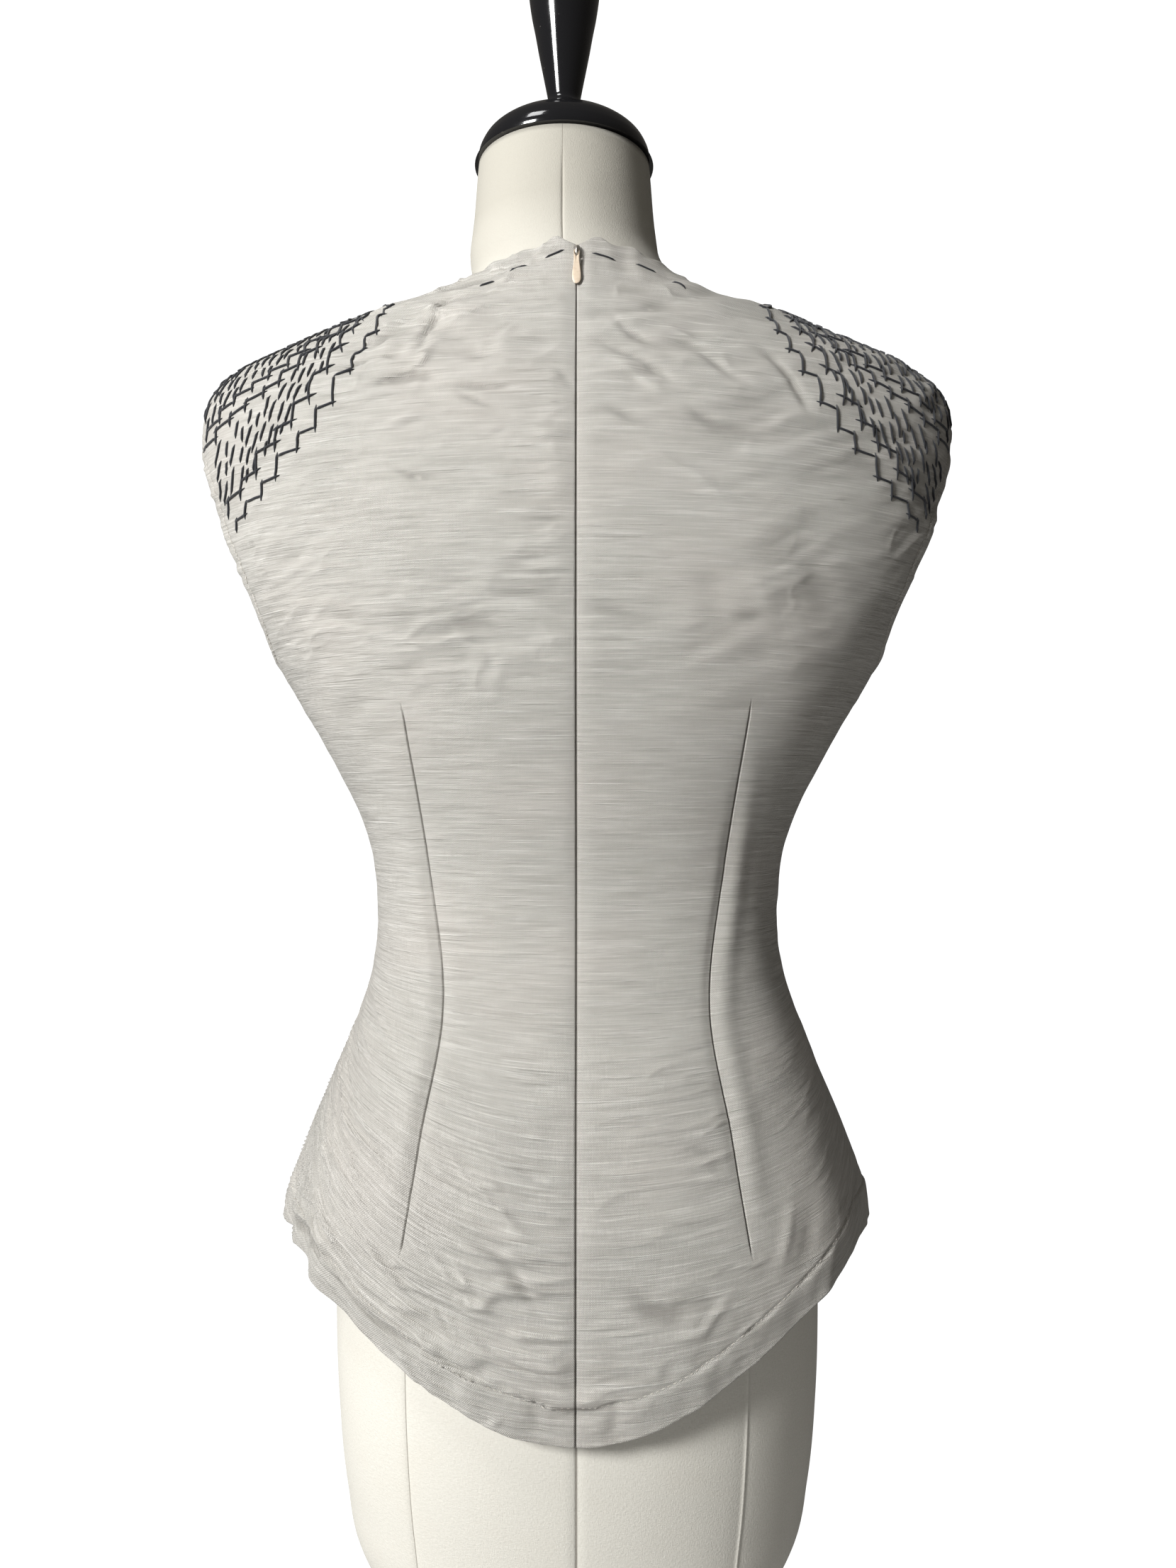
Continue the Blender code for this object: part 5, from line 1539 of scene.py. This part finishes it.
def tape_cloth():
    """Fine ribbed tape."""
    made, tree, shader = finish("woven_tape", (0.66, 0.63, 0.58), 0.8, Sheen_Weight=0.15)
    flat = node(tree, "UVMap", uv_map="cloth").outputs[0]
    rib = yarn(tree, flat, (2.0, 24.0), 2.0, 0.5)
    colour = blend_colour(tree, rib, (0.56, 0.53, 0.48, 1), (0.74, 0.71, 0.66, 1))
    tree.links.new(colour, shader.inputs["Base Color"])
    bump = node(tree, "Bump", {"Strength": 0.5, "Distance": 0.0003, "Height": rib})
    tree.links.new(bump.outputs[0], shader.inputs["Normal"])
    return made


def brushed_metal():
    """Nickel plated metal, lightly worn."""
    made, tree, shader = finish("nickel", (0.66, 0.63, 0.58), 0.30, Metallic=1.0)
    spot = node(tree, "TexCoord").outputs["Object"]
    wear = node(tree, "TexNoise", {"Vector": spot, "Scale": 900.0, "Detail": 3.0}).outputs["Fac"]
    tree.links.new(steps(tree, wear, -0.4, 2.2), shader.inputs["Roughness"])
    colour = blend_colour(tree, wear, (0.52, 0.49, 0.44, 1), (0.74, 0.71, 0.66, 1))
    tree.links.new(colour, shader.inputs["Base Color"])
    return made


def tab_enamel():
    """Beige enamel with a slight mottle and a soft gloss."""
    made, tree, shader = finish("beige_enamel", (0.76, 0.62, 0.45), 0.32, Coat_Weight=0.35,
                                Coat_Roughness=0.2)
    spot = node(tree, "TexCoord").outputs["Object"]
    mottle = node(tree, "TexNoise", {"Vector": spot, "Scale": 420.0, "Detail": 2.0}).outputs["Fac"]
    colour = blend_colour(tree, mottle, (0.56, 0.45, 0.335, 1), (0.66, 0.56, 0.44, 1))
    tree.links.new(colour, shader.inputs["Base Color"])
    tree.links.new(steps(tree, mottle, -0.6, 3.2), shader.inputs["Roughness"])
    return made


print("threads:", black_thread.name, tone_thread.name)

# %% [markdown]
# ## Cover and lacquer of the form
# The cover is plain cotton, warm white, with a fine even weave. The lacquer is deep black and glossy,
# with dust and a few small chips.
# %% Form finishes
def form_cotton():
    """A fine plain weave: two crossed noises, with soft blotches, and painted shade on the neck."""
    made, tree, shader = finish("form_cotton", (0.80, 0.77, 0.705), 0.85, Sheen_Weight=0.12,
                                Specular_IOR_Level=0.2)
    flat = node(tree, "UVMap", uv_map="cloth").outputs[0]
    weft = yarn(tree, flat, (4.0, 20.0), 2.0, 0.5)
    warp = yarn(tree, flat, (20.0, 4.0), 2.0, 0.5, (4.0, 1.0, 0.0))
    pebble = yarn(tree, flat, (7.0, 7.0), 3.0, 0.6, (2.0, 5.0, 0.0))
    blotch = yarn(tree, flat, (0.25, 0.25), 3.0, 0.6)
    weave = sums(tree, (weft, 0.3), (warp, 0.3), (pebble, 0.4))
    colour = blend_colour(tree, steps(tree, weave, 0.32, 0.68), (0.62, 0.60, 0.535, 1),
                          (0.72, 0.70, 0.635, 1))
    colour = blend_colour(tree, steps(tree, blotch, 0.5, 1.6), colour, (0.64, 0.60, 0.52, 1))
    # Painted shade: from 72 cm up the cover turns darker, fully so above 80 cm, to tone down the brightly lit
    # neck.
    spot = node(tree, "TexCoord").outputs["Object"]
    up = node(tree, "SeparateXYZ", {0: spot}).outputs[2]
    colour = blend_colour(tree, steps(tree, up, 0.72, 0.80), colour, (0.43, 0.41, 0.355, 1))
    seam = node(tree, "Attribute", attribute_name="dark_seam_and_painted_shade").outputs["Fac"]
    colour = blend_colour(tree, steps(tree, seam, 0.1, 1.2), colour, (0.10, 0.08, 0.06, 1))
    tree.links.new(colour, shader.inputs["Base Color"])
    bump = node(tree, "Bump", {"Strength": 0.6, "Distance": 0.0007, "Height": weave})
    tree.links.new(bump.outputs[0], shader.inputs["Normal"])
    return made


def black_lacquer():
    """Glossy lacquer over wood, with dust that dulls it in places and tiny chips."""
    made, tree, shader = finish("black_lacquer", (0.006, 0.006, 0.007), 0.16, Coat_Weight=0.25,
                                Coat_Roughness=0.08, Specular_IOR_Level=0.35)
    spot = node(tree, "TexCoord").outputs["Object"]
    dust = node(tree, "TexNoise", {"Vector": spot, "Scale": 60.0, "Detail": 5.0,
                                   "Roughness": 0.7}).outputs["Fac"]
    chips = node(tree, "TexNoise", {"Vector": spot, "Scale": 260.0, "Detail": 2.0}).outputs["Fac"]
    tree.links.new(steps(tree, dust, 0.1, 3.4), shader.inputs["Roughness"])
    colour = blend_colour(tree, steps(tree, chips, 0.74, 0.80), (0.008, 0.008, 0.009, 1),
                          (0.10, 0.09, 0.08, 1))
    tree.links.new(colour, shader.inputs["Base Color"])
    return made


# %% [markdown]
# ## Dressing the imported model
# Each new piece takes its finish, rides on the body that its solid belongs to, and stands for that
# solid. The tab rides on its own body, because it swings on the slider.
# %% Finishes, bodies and replaced solids
def dress(piece, look, body_name, nodes=()):
    """Gives a piece its material, its body and the solids that it stands for."""
    piece.data.materials.clear()
    piece.data.materials.append(look)
    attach(piece, body_name)
    if nodes:
        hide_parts(*nodes)
    return piece


GARMENT, PULL = "garment", "pull"
for name, piece in cloth_pieces.items():
    dress(piece, vest_cloth, GARMENT, [name])
for piece in thread_pieces:
    dress(piece, tone_thread if "top" in piece.name else black_thread, GARMENT)
dress(tape_piece, tape_cloth(), GARMENT, ["zip_tape"])
metal = brushed_metal()
dress(plate, metal, GARMENT, ["zip_slider"])
dress(bridge, metal, GARMENT)
dress(pull_piece, tab_enamel(), PULL, ["zip_pull"])
dress(form_piece, form_cotton(), GARMENT, ["form_body"])
lacquer = black_lacquer()
dress(cap_piece, lacquer, GARMENT, ["form_cap"])
dress(finial_piece, lacquer, GARMENT, ["form_finial"])
print("pieces:", len(cloth_pieces) + len(thread_pieces) + 7)

# %% [markdown]
# ## Floor
# A plain pale floor, far larger than the form.
# %% Floor
FLOOR_SIDE, FLOOR_NEAR, FLOOR_FAR = 500.0, -250.0, 900.0
floor_points = np.array([(-FLOOR_SIDE, FLOOR_NEAR, 0.0), (FLOOR_SIDE, FLOOR_NEAR, 0.0),
                         (FLOOR_SIDE, FLOOR_FAR, 0.0), (-FLOOR_SIDE, FLOOR_FAR, 0.0)])
floor = make_piece("studio_floor", floor_points, [(0, 1, 2, 3)], smooth=False)
pale, pale_tree, pale_shader = finish("pale_floor", (0.45, 0.45, 0.45), 0.9)
glow = node(pale_tree, "Emission", {"Color": (1.0, 1.0, 1.0, 1.0), "Strength": WHITE})
camera_ray = node(pale_tree, "LightPath").outputs["Is Camera Ray"]
seen = node(pale_tree, "Math", {0: camera_ray, 1: 0.99}, operation="MULTIPLY")
white = node(pale_tree, "MixShader", {0: seen.outputs[0], 1: pale_shader.outputs[0], 2: glow.outputs[0]})
pale_tree.links.new(white.outputs[0], pale_tree.nodes["Material Output"].inputs["Surface"])
floor.data.materials.append(pale)
